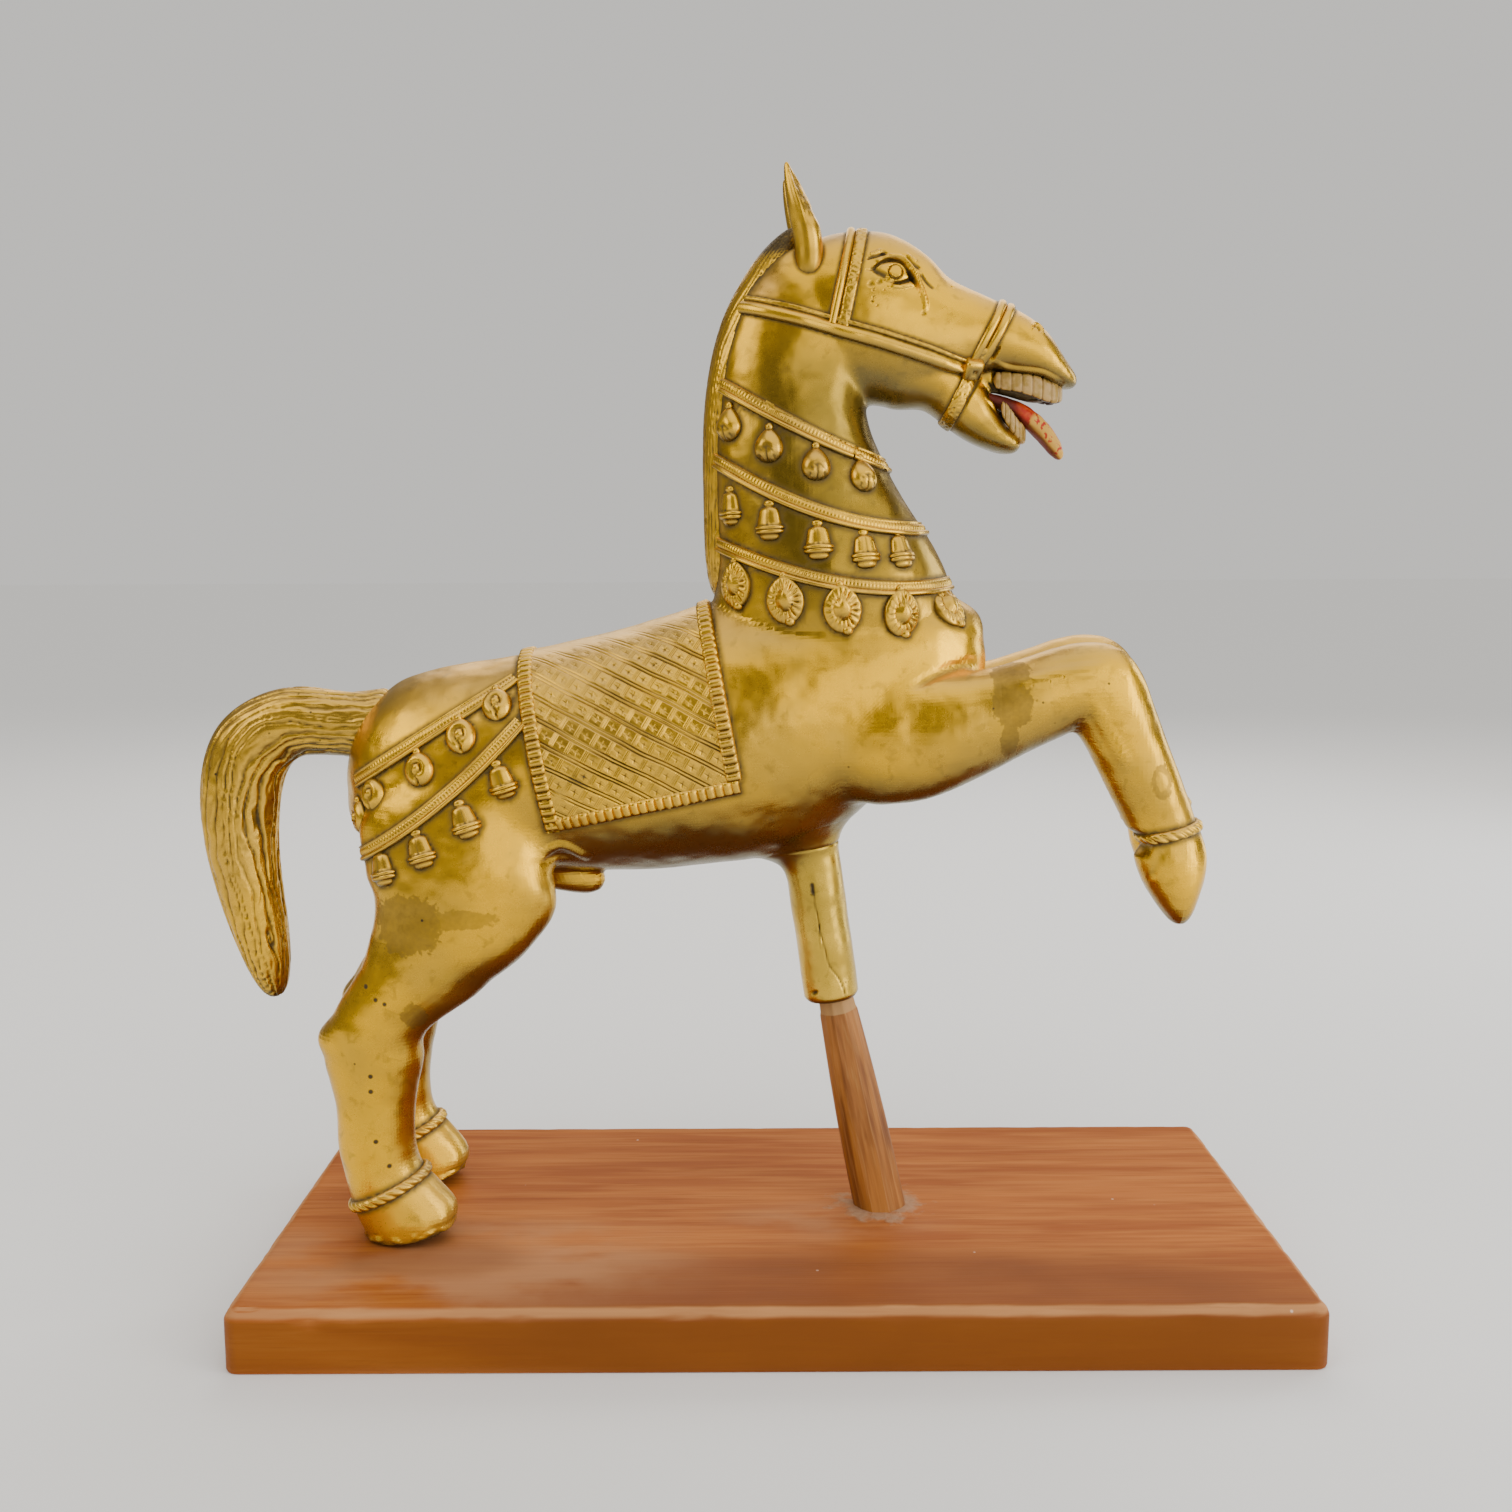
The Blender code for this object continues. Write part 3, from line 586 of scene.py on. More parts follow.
# Lines cut or raised on each cheek as seen from its side: x and z of the stops, half width
# and height, cut lines below zero
CHASED = (
    (((48.0, 560.1), (51.2, 560.6), (53.3, 562.6), (56.0, 564.4), (58.4, 565.3), (61.6, 565.4),
      (64.8, 565.2), (67.2, 563.9), (68.8, 561.8), (70.2, 559.5), (71.6, 557.1), (72.9, 554.8),
      (74.6, 552.2), (76.2, 550.1)), 1.2, -1.7),
    (((54.6, 565.4), (58.1, 566.9), (61.0, 567.8), (64.2, 567.8), (67.4, 566.7), (69.6, 564.4),
      (71.8, 561.8), (73.7, 558.9), (75.1, 556.1), (76.2, 553.2), (77.0, 550.9), (77.9, 548.1),
      (79.0, 544.9), (79.6, 542.1), (79.3, 540.5)), 2.0, 2.3),
    (((47.7, 565.9), (50.6, 567.0), (53.3, 567.7), (55.4, 568.5), (57.2, 569.3), (59.1, 569.4)),
     1.2, -1.2),
    (((49.5, 568.6), (53.0, 569.8), (56.0, 571.4)), 1.3, 0.7),
    (((68.2, 568.6), (70.6, 566.3), (73.1, 564.3), (75.5, 562.8), (77.4, 561.2)), 1.5, -1.2),
    (((69.7, 570.0), (72.6, 567.6), (75.6, 565.6)), 1.2, 0.7),
    (((76.9, 560.0), (78.8, 555.8), (82.1, 552.2), (84.8, 550.7)), 1.2, -0.6),
    (((69.7, 560.2), (70.8, 558.4), (71.8, 556.4), (73.2, 554.8)), 1.9, -1.7),
    (((51.0, 560.4), (52.8, 559.7), (54.7, 558.4), (56.9, 556.9), (59.0, 555.8)), 1.9, -1.2),
    (((61.5, 553.0), (62.8, 553.2), (65.2, 553.2), (67.3, 553.9), (69.7, 554.8), (72.1, 555.8)),
     1.2, -1.5),
    (((60.1, 552.0), (64.4, 551.2), (68.2, 551.7), (71.9, 552.8), (73.8, 552.2)), 1.7, 0.9),
    (((118.4, 514.0), (121.7, 512.4), (126.7, 511.0), (132.5, 510.2), (138.3, 509.6),
      (144.1, 508.6), (148.2, 506.8), (152.4, 504.7), (156.6, 502.7)), 1.9, 1.2),
    (((114.3, 495.5), (117.7, 492.3), (121.1, 488.2), (124.5, 483.8), (127.9, 479.3),
      (130.9, 475.6)), 1.5, 1.1),
    (((117.3, 495.0), (120.4, 491.4), (123.8, 486.6), (127.2, 481.8), (130.2, 477.9)), 1.2, -1.2),
    (((121.6, 509.0), (121.4, 505.4), (121.0, 501.5), (121.6, 498.0)), 1.3, -1.4),
    (((115.2, 504.0), (118.6, 501.4), (121.0, 498.6)), 1.0, -0.9),
    (((112.0, 508.0), (108.8, 502.6), (104.6, 496.4), (101.4, 490.4)), 1.6, -0.9),
    (((119.6, 522.2), (117.8, 518.6), (115.2, 514.6)), 1.8, -2.0),
    (((138.6, 532.4), (140.2, 533.2), (141.8, 532.0), (142.0, 530.2)), 1.0, -1.5),
    (((136.6, 530.8), (138.4, 534.6), (141.6, 534.8), (143.8, 532.4), (144.2, 529.6)), 1.3, 0.9),
)
EYE = (62.8, 558.9)
EYEBALL = (8.8, 5.8)        # half its width and height
IRIS = 3.6                  # its radius
EYES_AND_LIPS = (
    (46, 86, 536, 574, 12), (100, 146, 472, 514, 3), (100, 146, 526, 537, 3),
    (146, 200, 0, 512, 0),
)
THROAT = (42, 27, 505)
# Small holes left by the casting: x, z and radius
PITS = ((78.2, 537.5, 1.4), (57.4, 569.3, 1.8), (50.0, 552.6, 1.8), (54.6, 553.6, 1.6),
        (51.6, 549.6, 0.9), (51.6, 545.8, 0.8), (50.8, 543.6, 0.7), (53.6, 541.4, 0.6),
        (57.4, 549.6, 0.5), (112.6, 531.0, 0.5), (95.0, 553.0, 0.5), (60.0, 531.5, 0.5))


def chase_cheeks(piece):
    """Raises and cuts the lines of the face on both cheeks, and leaves grime in the cuts."""
    points, normals = corners_of(piece)
    seen = points[:, [0, 2]]
    facing = np.clip((np.abs(normals[:, 1]) - 0.12) / 0.25, 0, 1)
    rise = np.zeros(len(points))
    grime = np.zeros(len(points))
    from_eye = seen - np.array(EYE)
    ball = np.clip(1 - ((from_eye / EYEBALL) ** 2).sum(axis=1), 0, 1)
    rise += 1.7 * ball ** 0.7
    ring = np.hypot(from_eye[:, 0] - 0.4, from_eye[:, 1])
    rise += 0.5 * np.clip((IRIS - ring) / 0.6, 0, 1)
    rise -= 0.9 * hump(ring - IRIS - 0.1, 0.8)
    grime += 0.75 * hump(ring - IRIS - 0.1, 0.9)
    for stops, width, height in CHASED:
        away, along = from_line(seen, rounded_path(stops))
        taper = np.clip(np.minimum(along, 1 - along) / 0.15, 0.25, 1)
        shape = hump(away, width) * taper
        rise += height * shape
        if height < 0:
            grime += 0.85 * hump(away, width * 1.35) * taper
    for x, z, reach in PITS:
        away = np.hypot(seen[:, 0] - x, seen[:, 1] - z)
        rise -= 0.7 * hump(away, reach * 1.3)
        grime += 0.6 * hump(away, reach * 1.6)
    points += normals * (rise * facing)[:, None]
    set_corners(piece, points)
    return grime * facing


def lip_line(x):
    """How high the upper lip's edge is at each x."""
    return np.interp(x, (118, 125, 134.7, 144.3, 149.2, 154.1, 158.9, 163),
                     (511.8, 509.8, 508.4, 506.6, 504.8, 502.9, 501.0, 500.4))


head = run_together("horse_head", [
    loft("skull", HEAD, sides=12, levels=4),
    loft("jaw", LOWER_JAW, levels=4),
    loft("palate", PALATE),
    loft("upper_neck", NECK, sides=12, levels=4),
], 1.2, 17)
slice_off(head, (NECK_CUT[0][0], 0, NECK_CUT[0][2] - NECK_OVERLAP),
          [-part for part in NECK_CUT[1]])
points, normals = corners_of(head)
below_lip = np.clip((lip_line(points[:, 0]) - points[:, 2]) / 1.3, 0, 1)
below_lip *= np.clip((points[:, 0] - 117) / 3, 0, 1) * (points[:, 2] > 495)
points[:, 1] *= 1 - 0.45 * below_lip
points[:, 0] -= 5.0 * below_lip * np.clip((points[:, 0] - 146) / 10, 0, 1)
set_corners(head, points)
refine(head, EYES_AND_LIPS)
carry_out(head, "SMOOTH", factor=0.5, iterations=3)
for side in (NEAR, FAR):
    ease(head, (THROAT[0], side * THROAT[1], THROAT[2]), 34, 50)
uneven(head, (30, 0.9), (12, 0.2))
head_grime_and_shade = chase_cheeks(head)
points, normals = corners_of(head)
# Painted shade: the inside of the mouth, between the lip and the jaw, is darkened.
mouth_shade = np.clip((points[:, 0] - 116) / 4, 0, 1)
mouth_shade *= np.clip((lip_line(points[:, 0]) - 0.5 - points[:, 2]) / 1.5, 0, 1)
jaw_top = np.interp(points[:, 0], (114, 121, 128, 133, 140), (497, 490, 481, 476, 472))
mouth_shade *= np.clip((points[:, 2] - jaw_top) / 2, 0, 1)
head_grime_and_shade += 1.3 * mouth_shade
soil(head, head_grime_and_shade)
belongs(head, body_brass, "horse")

# ---- Neck collars and crupper straps --------------------------------------------------------
# Flat straps standing out of the casting: a smooth round edge below, a milled stripe above
# it and a thin bead along the top. Each is laid flat, wrapped round the horse and sunk in it.

COLLAR_AXIS_X = 24
# How high each strap runs, as x0, z0, slope and curve of its height over x, in mm
COLLARS = ((0, 484.8, -0.547, 0.0021), (0, 443.6, -0.485, 0.0032), (0, 405, -0.329, 0.0024))
CRUPPER_AXIS_X = -150
CRUPPERS = ((-230, 290, 0.63, 0.0), (-221, 254, 0.549, 0.00327))
CRUPPER_ENDS = (74, 160)
STRAP_WIDTH = 8.4


class Skin:
    """Finds places on the finished brass, in mm, each with its outward normal."""

    def __init__(self, *pieces):
        points, self.normals, faces = [], [], []
        for piece in pieces:
            first = len(points)
            places, outward = corners_of(piece)
            points += places.tolist()
            self.normals += [Vector(normal) for normal in outward.tolist()]
            faces += [[first + corner for corner in face.vertices] for face in piece.data.polygons]
        self.points, self.faces = [Vector(point) for point in points], faces
        self.tree = BVHTree.FromPolygons(points, faces)

    def smoothed(self, point, face):
        """The normal at a point of a face, blended from the face's corners."""
        normal = Vector()
        for corner in self.faces[face]:
            normal += self.normals[corner] / ((point - self.points[corner]).length + 0.05)
        return normal.normalized()

    def nearest(self, point):
        place, _, face, _ = self.tree.find_nearest(point)
        return place, self.smoothed(place, face)

    def towards(self, target, direction, distance=100):
        """The first place met when looking back at a target from one direction."""
        direction = Vector(direction).normalized()
        place, _, face, _ = self.tree.ray_cast(Vector(target) + direction * distance, -direction)
        return place, self.smoothed(place, face)

    def collar(self, axis_x, height, first, last, steps):
        """Places round an upright axis at a height that depends on x; angles from +X."""
        x0, z0, slope, curve = height
        stops = []
        for i in range(steps + 1):
            angle = math.radians(first + (last - first) * i / steps)
            direction = Vector((math.cos(angle), math.sin(angle), 0))
            x = axis_x
            for _ in range(12):
                z = z0 + slope * (x - x0) + curve * (x - x0) ** 2
                place, _ = self.towards((axis_x, 0, z), direction)
                x = (x + place.x) / 2
            stops.append(place)
        return stops

    def girth(self, centre, top, first, last, steps, y=0, distance=36):
        """Places round a tilted ring with this centre and top; angles from its top."""
        middle = Vector((centre[0], y, centre[1]))
        up = (Vector((top[0], y, top[1])) - middle).normalized()
        stops = []
        for i in range(steps + 1):
            angle = math.radians(first + (last - first) * i / steps)
            direction = up * math.cos(angle) + SIDEWAYS * math.sin(angle)
            stops.append(self.towards(middle, direction, distance)[0])
        return stops

    def flank(self, stops, side):
        """Places below a line of x and z stops, seen straight from one side."""
        return [self.towards((x, 0, z), SIDEWAYS * side)[0] for x, z in stops]


def places_along(stops, reached, places):
    """Points at some distances along a line, from its stops and how far along each lies."""
    return np.stack([np.interp(places, reached, part) for part in stops.T], axis=1)


def even_stations(stops, step, closed):
    """Points an even step apart along the stops, and the step that fits a whole number."""
    stops = np.array([list(stop) for stop in stops])
    if closed:
        stops = np.vstack([stops, stops[:1]])
    reached = run_along(stops)
    count = max(3, round(reached[-1] / step))
    points = places_along(stops, reached, np.linspace(0, reached[-1], count + 1))
    for _ in range(3):
        eased = points.copy()
        eased[1:-1] = (points[:-2] + 2 * points[1:-1] + points[2:]) / 4
        points = eased
    return (points[:-1] if closed else points), reached[-1] / count


def flat_grid(name, columns, rows):
    """A flat grid of so many faces across and along, with each corner's column and row."""
    sheet = blank(name, "grid", x_subdivisions=columns, y_subdivisions=rows, size=1)
    flat, _ = corners_of(sheet)
    column = np.rint((flat[:, 0] * MM + 0.5) * columns).astype(int)
    row = np.rint((flat[:, 1] * MM + 0.5) * rows).astype(int)
    return sheet, column, row


def close_up(piece):
    """Joins a rolled grid along its seam and closes its two ends."""
    with opened(piece):
        bpy.ops.mesh.remove_doubles(threshold=1e-6)
        bpy.ops.mesh.select_all(action="DESELECT")
        bpy.ops.mesh.select_non_manifold()
        bpy.ops.mesh.fill_holes(sides=0)
        turn_outwards()


def ribbon(name, skin, stops, width, profile, columns, step, closed=False, sunk=1.6, square=False):
    """A flat strip laid out as a grid, wrapped along the stops on the skin, and closed below.

    The profile gives its height from how far along it a point is, in mm, and how far across,
    from -1 at its lower edge to 1.
    """
    stations, step = even_stations(stops, step, closed)
    rows = len(stations)
    strip, column, row = flat_grid(name, columns + 4, rows - (not closed))
    wrapped = np.zeros((rows, columns + 5, 3))
    dirt = np.zeros((rows, columns + 5))
    across_parts = np.linspace(-1, 1, columns + 1)
    for i, station in enumerate(stations):
        point, normal = skin.nearest(Vector(station))
        ahead = stations[(i + 1) % rows if closed else min(i + 1, rows - 1)]
        behind = stations[i - 1 if closed or i else 0]
        across = Vector(ahead - behind).cross(normal).normalized()
        if across.z < 0 and not square:
            across = -across
        for j, part in enumerate(across_parts):
            place, up = skin.nearest(point + across * (part * width / 2))
            dirt[i, j] = profile(i * step, part)
            wrapped[i, j] = place + up * dirt[i, j]
        wrapped[i, columns + 1] = place - up * sunk
        wrapped[i, columns + 2] = place - up * sunk - across * (width / 8)
        place, up = skin.nearest(point - across * (width / 2))
        wrapped[i, columns + 3] = place - up * sunk
        wrapped[i, columns + 4] = wrapped[i, 0]
    set_corners(strip, wrapped[row % rows, column])
    # Low parts of the strip are darkened: grime in its grooves, and grime and painted shade along
    # its edges by the body.
    top = max(dirt.max(), 0.1)
    soil(strip, np.where(column <= columns, 0.9 - 1.5 * dirt[row % rows, column] / top, 0.6))
    close_up(strip)
    shade(strip, 50)
    return strip


def round_over(part, middle, half):
    """The height of a round bead, 0 to 1, across a strip."""
    return math.sqrt(max(0.0, 1 - ((part - middle) / half) ** 2))


def harness_profile(along, part):
    """Lower edge a round rope, then the milled stripe, then a thin bead."""
    mill = 0.72 + 0.28 * abs(math.cos(math.pi * along / 2.0))
    mill += 0.12 * noise.noise((along * 0.08, part * 2, 1.0))
    return 0.15 + max(
        2.1 * round_over(part, -0.62, 0.37),
        1.45 * round_over(part, 0.2, 0.50) ** 0.6 * mill,
        1.5 * round_over(part, 0.86, 0.15),
    )


def join(name, pieces):
    """Makes one piece of several that were cast together."""
    pick(*pieces)
    bpy.ops.object.join()
    made = bpy.context.object
    made.name = made.data.name = name
    return made


RELIEF_BRIGHT, RELIEF_WORN = (0.86, 0.49, 0.026), (0.68, 0.40, 0.045)
relief_brass = brass("relief_brass", RELIEF_BRIGHT, RELIEF_WORN, BROWN_PATINA)
skin = Skin(body, head)
collar_stops = [skin.collar(COLLAR_AXIS_X, height, 0, 360, 72)[:-1] for height in COLLARS]
collars = join("neck_collars", [
    ribbon("collar", skin, stops, STRAP_WIDTH, harness_profile, 16, 0.5, closed=True)
    for stops in collar_stops
])
crupper_straps = join("crupper_straps", [
    ribbon("crupper", skin,
           skin.collar(CRUPPER_AXIS_X, height, side * CRUPPER_ENDS[0], side * CRUPPER_ENDS[1], 40),
           STRAP_WIDTH, harness_profile, 16, 0.5)
    for height in CRUPPERS for side in (NEAR, FAR)
])

# ---- Bridle ---------------------------------------------------------------------------------
# Crown, cheek, nose and chin straps stand out of the head like the collars. Most are a plain
# rounded strip beside a stippled one, and a square boss with a punched eye joins them.

CROWN_STRAP = ((36.6, 548), (44.6, 585), 121)
CHEEK_STRAP = ((-17, 544.2), (-1.3, 540.0), (15, 535.8), (31, 531.6), (54, 525.2), (70, 520.4),
               (83, 516.4), (103, 510.6))
NOSE_STRAP = ((112.3, 520.6), (126.3, 546.5), 121)
CHIN_STRAP = ((101.5, 499.4), (93, 481.6), 142)
# The boss: its place, its size, and the way it lies along the cheek strap
BOSS = (105.2, 510.9)
BOSS_SIZE = (11, 12.5, 11.4)
BOSS_ALONG = (0.96, 0, -0.28)


def stippled(along, part):
    """Small uneven punch marks between -1 and 0."""
    return min(0.0, 0.9 * noise.noise((along * 0.9, part * 3.6, 7.3)) - 0.1)


def cheek_profile(along, part):
    """A broad roll with a steep lower side, under a thin stippled strip."""
    lump = 0.3 * noise.noise((along * 0.11, 2.0, 4.0))
    return 0.15 + max((3.1 + lump) * round_over(part, -0.3, 0.7) ** (0.7 if part < -0.3 else 1.5),
                      1.3 * round_over(part, 0.72, 0.28) ** 0.6 + 0.5 * stippled(along, part))


def crown_profile(along, part):
    """A round bar in front of a flat stippled strip, with a groove between."""
    return 0.15 + max(2.3 * round_over(part, -0.56, 0.40),
                      1.5 * round_over(part, 0.46, 0.54) ** 0.5 + 1.1 * stippled(along, part))


def nose_profile(along, part):
    return 0.15 + max(1.8 * round_over(part, -0.5, 0.47), 1.7 * round_over(part, 0.5, 0.47))


def chin_profile(along, part):
    return 0.15 + 1.5 * round_over(part, 0, 1) ** 0.6 + 0.9 * stippled(along, part)


straps = []
for side in (NEAR, FAR):
    straps.append(ribbon("cheek", skin, skin.flank(CHEEK_STRAP, side), 10.4, cheek_profile, 18,
                         0.7))
for (centre, top, reach), profile, width in ((CROWN_STRAP, crown_profile, 11.6),
                                              (NOSE_STRAP, nose_profile, 10.0),
                                              (CHIN_STRAP, chin_profile, 8.0)):
    straps.append(ribbon("strap", skin, skin.girth(centre, top, -reach, reach, 40, 0, 60), width,
                         profile, 14, 0.7, square=True))
for side in (NEAR, FAR):
    place, up = skin.towards((BOSS[0], 0, BOSS[1]), SIDEWAYS * side)
    boss = blank("boss", "cube", size=1)
    with opened(boss):
        bpy.ops.transform.resize(value=[part * MM for part in BOSS_SIZE])
        bpy.ops.mesh.bevel(offset=2.8 * MM, segments=4, profile=0.5)
        pick_faces(boss, lambda _, normal: normal.z > 0.99)
        bpy.ops.mesh.inset(thickness=1.3 * MM)
        bpy.ops.mesh.inset(thickness=0.4 * MM, depth=-0.35 * MM)
    lengthways = Vector(BOSS_ALONG)
    lengthways = (lengthways - up * lengthways.dot(up)).normalized()
    turn = Matrix((lengthways, up.cross(lengthways), up)).transposed().to_4x4()
    boss.data.transform(Matrix.Translation(place * MM) @ turn)
    soil(boss, np.zeros(len(boss.data.vertices)))
    shade(boss, 45)
    straps.append(boss)
bridle = join("bridle", straps)
for piece in (collars, crupper_straps, bridle):
    belongs(piece, relief_brass, "horse")

# ---- Drops hung on the straps ---------------------------------------------------------------
# Below every strap hangs a row of cast drops: split buds, fluted bell tassels, ridged oval
# medals, and on the rump scrolled bulbs. Each kind is chased once and repeated round the horse.
# A drop is made with x across it, y outwards and z up, and its back is sunk in the body.
# Each drop darkens towards its back: grime and painted shade where it meets the body.


def ball(name, segments, rings):
    """A round blank of unit radius with its pole up, and its corner points."""
    made = blank(name, "uv_sphere", segments=segments, ring_count=rings, radius=1)
    points, _ = corners_of(made)
    return made, points * MM


def add_bead(drop, place, radius):
    """A little cast ball joined to a drop, such as the eye it hangs by."""
    bead, unit = ball("bead", 12, 8)
    set_corners(bead, unit * radius + np.array(place))
    # Darker towards its back: grime and painted shade by the body.
    soil(bead, np.clip(0.7 - (unit[:, 1] * radius + place[1]) / 2.0, 0, 1))
    return join(drop.name, [drop, bead])


def bud():
    """A plump bud, narrow at the top, split below into three petals."""
    drop, unit = ball("bud", 28, 18)
    waist = 1 - 0.24 * unit[:, 2] - 0.12 * unit[:, 2] ** 2
    shape = unit * (7.7, 7.0, 9.4)
    shape[:, :2] *= waist[:, None]
    seen = shape[:, [0, 2]]
    front = np.clip(unit[:, 1] * 3, 0, 1)
    cut = np.zeros(len(unit))
    for stops, reach in ((((0, -9.6), (0, -5), (0, -1.5)), 1.0),
                         (((-4.6, -7.6), (-3.6, -3.5), (-1.2, -0.6), (0, 0.6)), 0.8),
                         (((4.6, -7.6), (3.6, -3.5), (1.2, -0.6), (0, 0.6)), 0.8)):
        cut = np.maximum(cut, hump(from_line(seen, stops)[0], reach))
    shape -= unit * (1.1 * cut * front)[:, None]
    set_corners(drop, shape)
    # Darker towards its back: grime and painted shade by the body; grime in the cuts.
    soil(drop, np.maximum(0.7 - shape[:, 1] / 1.8, 0.8 * cut * front))
    return add_bead(drop, (0, 1.4, 9.6), 2.3)


BELL = ((0.0, 12.6), (1.7, 12.3), (2.6, 11.2), (2.7, 9.9), (2.0, 8.8), (2.4, 8.2), (4.0, 7.6),
        (4.9, 6.2), (5.3, 4.0), (5.7, 1.6), (6.1, -0.8), (6.4, -2.6), (7.2, -3.0), (7.5, -3.9),
        (7.0, -4.8), (6.5, -5.0), (7.1, -5.3), (7.2, -6.2), (6.7, -7.1), (5.6, -7.7), (5.0, -8.2),
        (4.9, -9.2), (4.0, -10.6), (2.2, -11.4), (0.0, -11.6))


def bell():
    """A bell tassel turned to a profile, with flutes down its skirt and two rims."""
    drop, unit = ball("bell", 32, len(BELL) - 1)
    ring = np.rint(np.arccos(np.clip(unit[:, 2], -1, 1)) / math.pi * (len(BELL) - 1)).astype(int)
    radius, height = np.array(BELL)[ring].T
    turn = np.arctan2(unit[:, 1], unit[:, 0])
    fluted = (height < 7.4) & (height > -2.8)
    flute = np.where(fluted, np.abs(np.cos(turn * 7)) ** 0.7, 1)
    radius, height = radius * (1.02 + 0.08 * flute), height * 0.9
    shape = np.stack([radius * np.cos(turn), radius * np.sin(turn) * 0.72, height], axis=1)
    set_corners(drop, shape)
    between = np.isin(ring, (4, 5, 11, 15, 20))
    # Darker towards its back: grime and painted shade by the body; grime in the grooves.
    soil(drop, np.maximum(0.7 - shape[:, 1] / 1.8, 0.5 * between + 0.6 * fluted * (1 - flute)))
    return drop


def medal():
    """An oval medal: a domed rim cut by short rays, and a drop-shaped boss off its middle."""
    drop, unit = ball("medal", 108, 26)
    out = unit[:, 2]
    reach = np.clip(np.hypot(unit[:, 0], unit[:, 1]), 0, 1)
    turn = np.arctan2(unit[:, 1], unit[:, 0])
    ray = np.abs(np.sin(turn * 8.5)) ** 0.6
    x, z = reach * np.cos(turn) * 10.3, reach * np.sin(turn) * 13.0
    rayed = hump(reach - 0.68, 0.32) * (0.35 + 0.65 * np.clip(0.4 - x / 8, 0, 1))
    ring = hump(reach - 0.44, 0.10)
    narrow = 4.4 * np.clip(1 - (z - 1) / 10, 0.45, 1)
    boss = np.clip(1 - ((x + 0.9) / narrow) ** 2 - ((z - 1.4) / 6.6) ** 2, 0, 1) ** 0.5
    dome = np.sqrt(np.clip(1 - reach ** 2, 0, 1))
    height = 0.6 + 4.2 * dome ** 0.7 + 2.2 * boss - 1.8 * rayed * (1 - ray) - 0.9 * ring
    height = np.where(out > -0.05, height, -2.5)
    x = x * np.where(z > 0, 1 - 0.22 * (z / 13.0) ** 2, 1)
    set_corners(drop, np.stack([x, height, z], axis=1))
    # Darker in the rays and ring, and at the rim and back: grime, with painted shade where the
    # medal meets the body.
    deep = 0.42 * rayed * (1 - ray) + 0.35 * ring + 0.5 * np.clip((reach - 0.9) / 0.1, 0, 1)
    soil(drop, np.where(out > -0.05, deep, 1.0))
    drop = add_bead(drop, (-1.6, 1.6, -11.4), 3.0)
    return add_bead(drop, (0, 0.8, 13.2), 2.2)


def scroll():
    """A bulb with a deep scroll cut from its foot round its face."""
    drop, unit = ball("scroll", 36, 22)
    waist = np.where(unit[:, 2] > 0, 1 - 0.22 * unit[:, 2] ** 2, 1)
    shape = unit * (8.4, 6.4, 9.8)
    shape[:, 0] *= waist
    path = rounded_path(((0.6, -9.2), (0.4, -5.5), (2.6, -2.6), (3.9, 0.6), (2.2, 4.0),
                         (-1.4, 4.6), (-3.4, 1.8), (-2.6, -1.4), (-0.4, -2.2)))
    front = np.clip(unit[:, 1] * 3, 0, 1)
    cut = hump(from_line(shape[:, [0, 2]], path)[0], 1.5) * front
    shape -= unit * (2.2 * cut)[:, None]
    set_corners(drop, shape)
    # Darker towards its back: grime and painted shade by the body; grime in the scroll.
    soil(drop, np.maximum(0.7 - shape[:, 1] / 1.8, 0.8 * cut))
    return add_bead(drop, (0, 1.2, 9.8), 2.2)


DROP_RELIEF = 0.9           # how far a drop's chased depth is kept when it is hung


def hang(drop, skin, x, z, side, tilt):
    """A copy of a drop with its back on the skin of one side, its foot tilted forward."""
    place, up = skin.towards((x, 0, z), SIDEWAYS * side)
    top = Matrix.Rotation(math.radians(-tilt), 3, "Y") @ Vector((0, 0, 1))
    top = (top - up * top.dot(up)).normalized()
    turn = Matrix((up.cross(top), up * DROP_RELIEF, top)).transposed().to_4x4()
    pick(drop)
    bpy.ops.object.duplicate()
    copy = bpy.context.object
    copy.data.transform(Matrix.Translation((place - up * 0.5) * MM) @ turn)
    return copy


# For each row: what hangs in it, its tilt, and x and z of each drop's middle on either side
DROP_ROWS = (
    ("collar_buds", bud, 0, ((-24.8, 481.3), (-3.6, 469.2), (21.2, 459.4), (46.3, 453.6))),
    ("collar_bells", bell, 3, ((-24.5, 437.6), (-3.6, 429.5), (22, 419.2), (47, 414.5),
                               (66.5, 414.4))),
    ("collar_medals", medal, 6, ((-21.6, 396), (4.7, 388), (34.7, 383.4), (66.5, 380.8),
                                 (93.3, 383.5))),
    ("crupper_scrolls", scroll, 10, ((-149.6, 333.2), (-168.2, 317.1), (-190.8, 299.3),
                                     (-218.2, 284.2), (-228, 270))),
    ("crupper_bells", bell, 17, ((-146.2, 294), (-165.8, 273.5), (-189.6, 257.6),
                                 (-211.5, 247))),
)
drop_rows = []
for name, make, tilt, places in DROP_ROWS:
    drop = make()
    shade(drop, 60)
    copies = [hang(drop, skin, x, z, side, tilt) for side in (NEAR, FAR) for x, z in places]
    bpy.data.objects.remove(drop)
    drop_rows.append(join(name, copies))
for piece in drop_rows:
    belongs(piece, relief_brass, "horse")

# ---- Saddle cloth ---------------------------------------------------------------------------
# A raised panel on each flank and over the back, chased with slanting rows of punched squares
# between double lines, worn nearly smooth along the spine. Its border is a row of small bars.

CLOTH = ((-143, 361), (-124, 264), (-17, 287), (-37, 393))    # corners, x and z
BORDER_WIDTH = 9.0
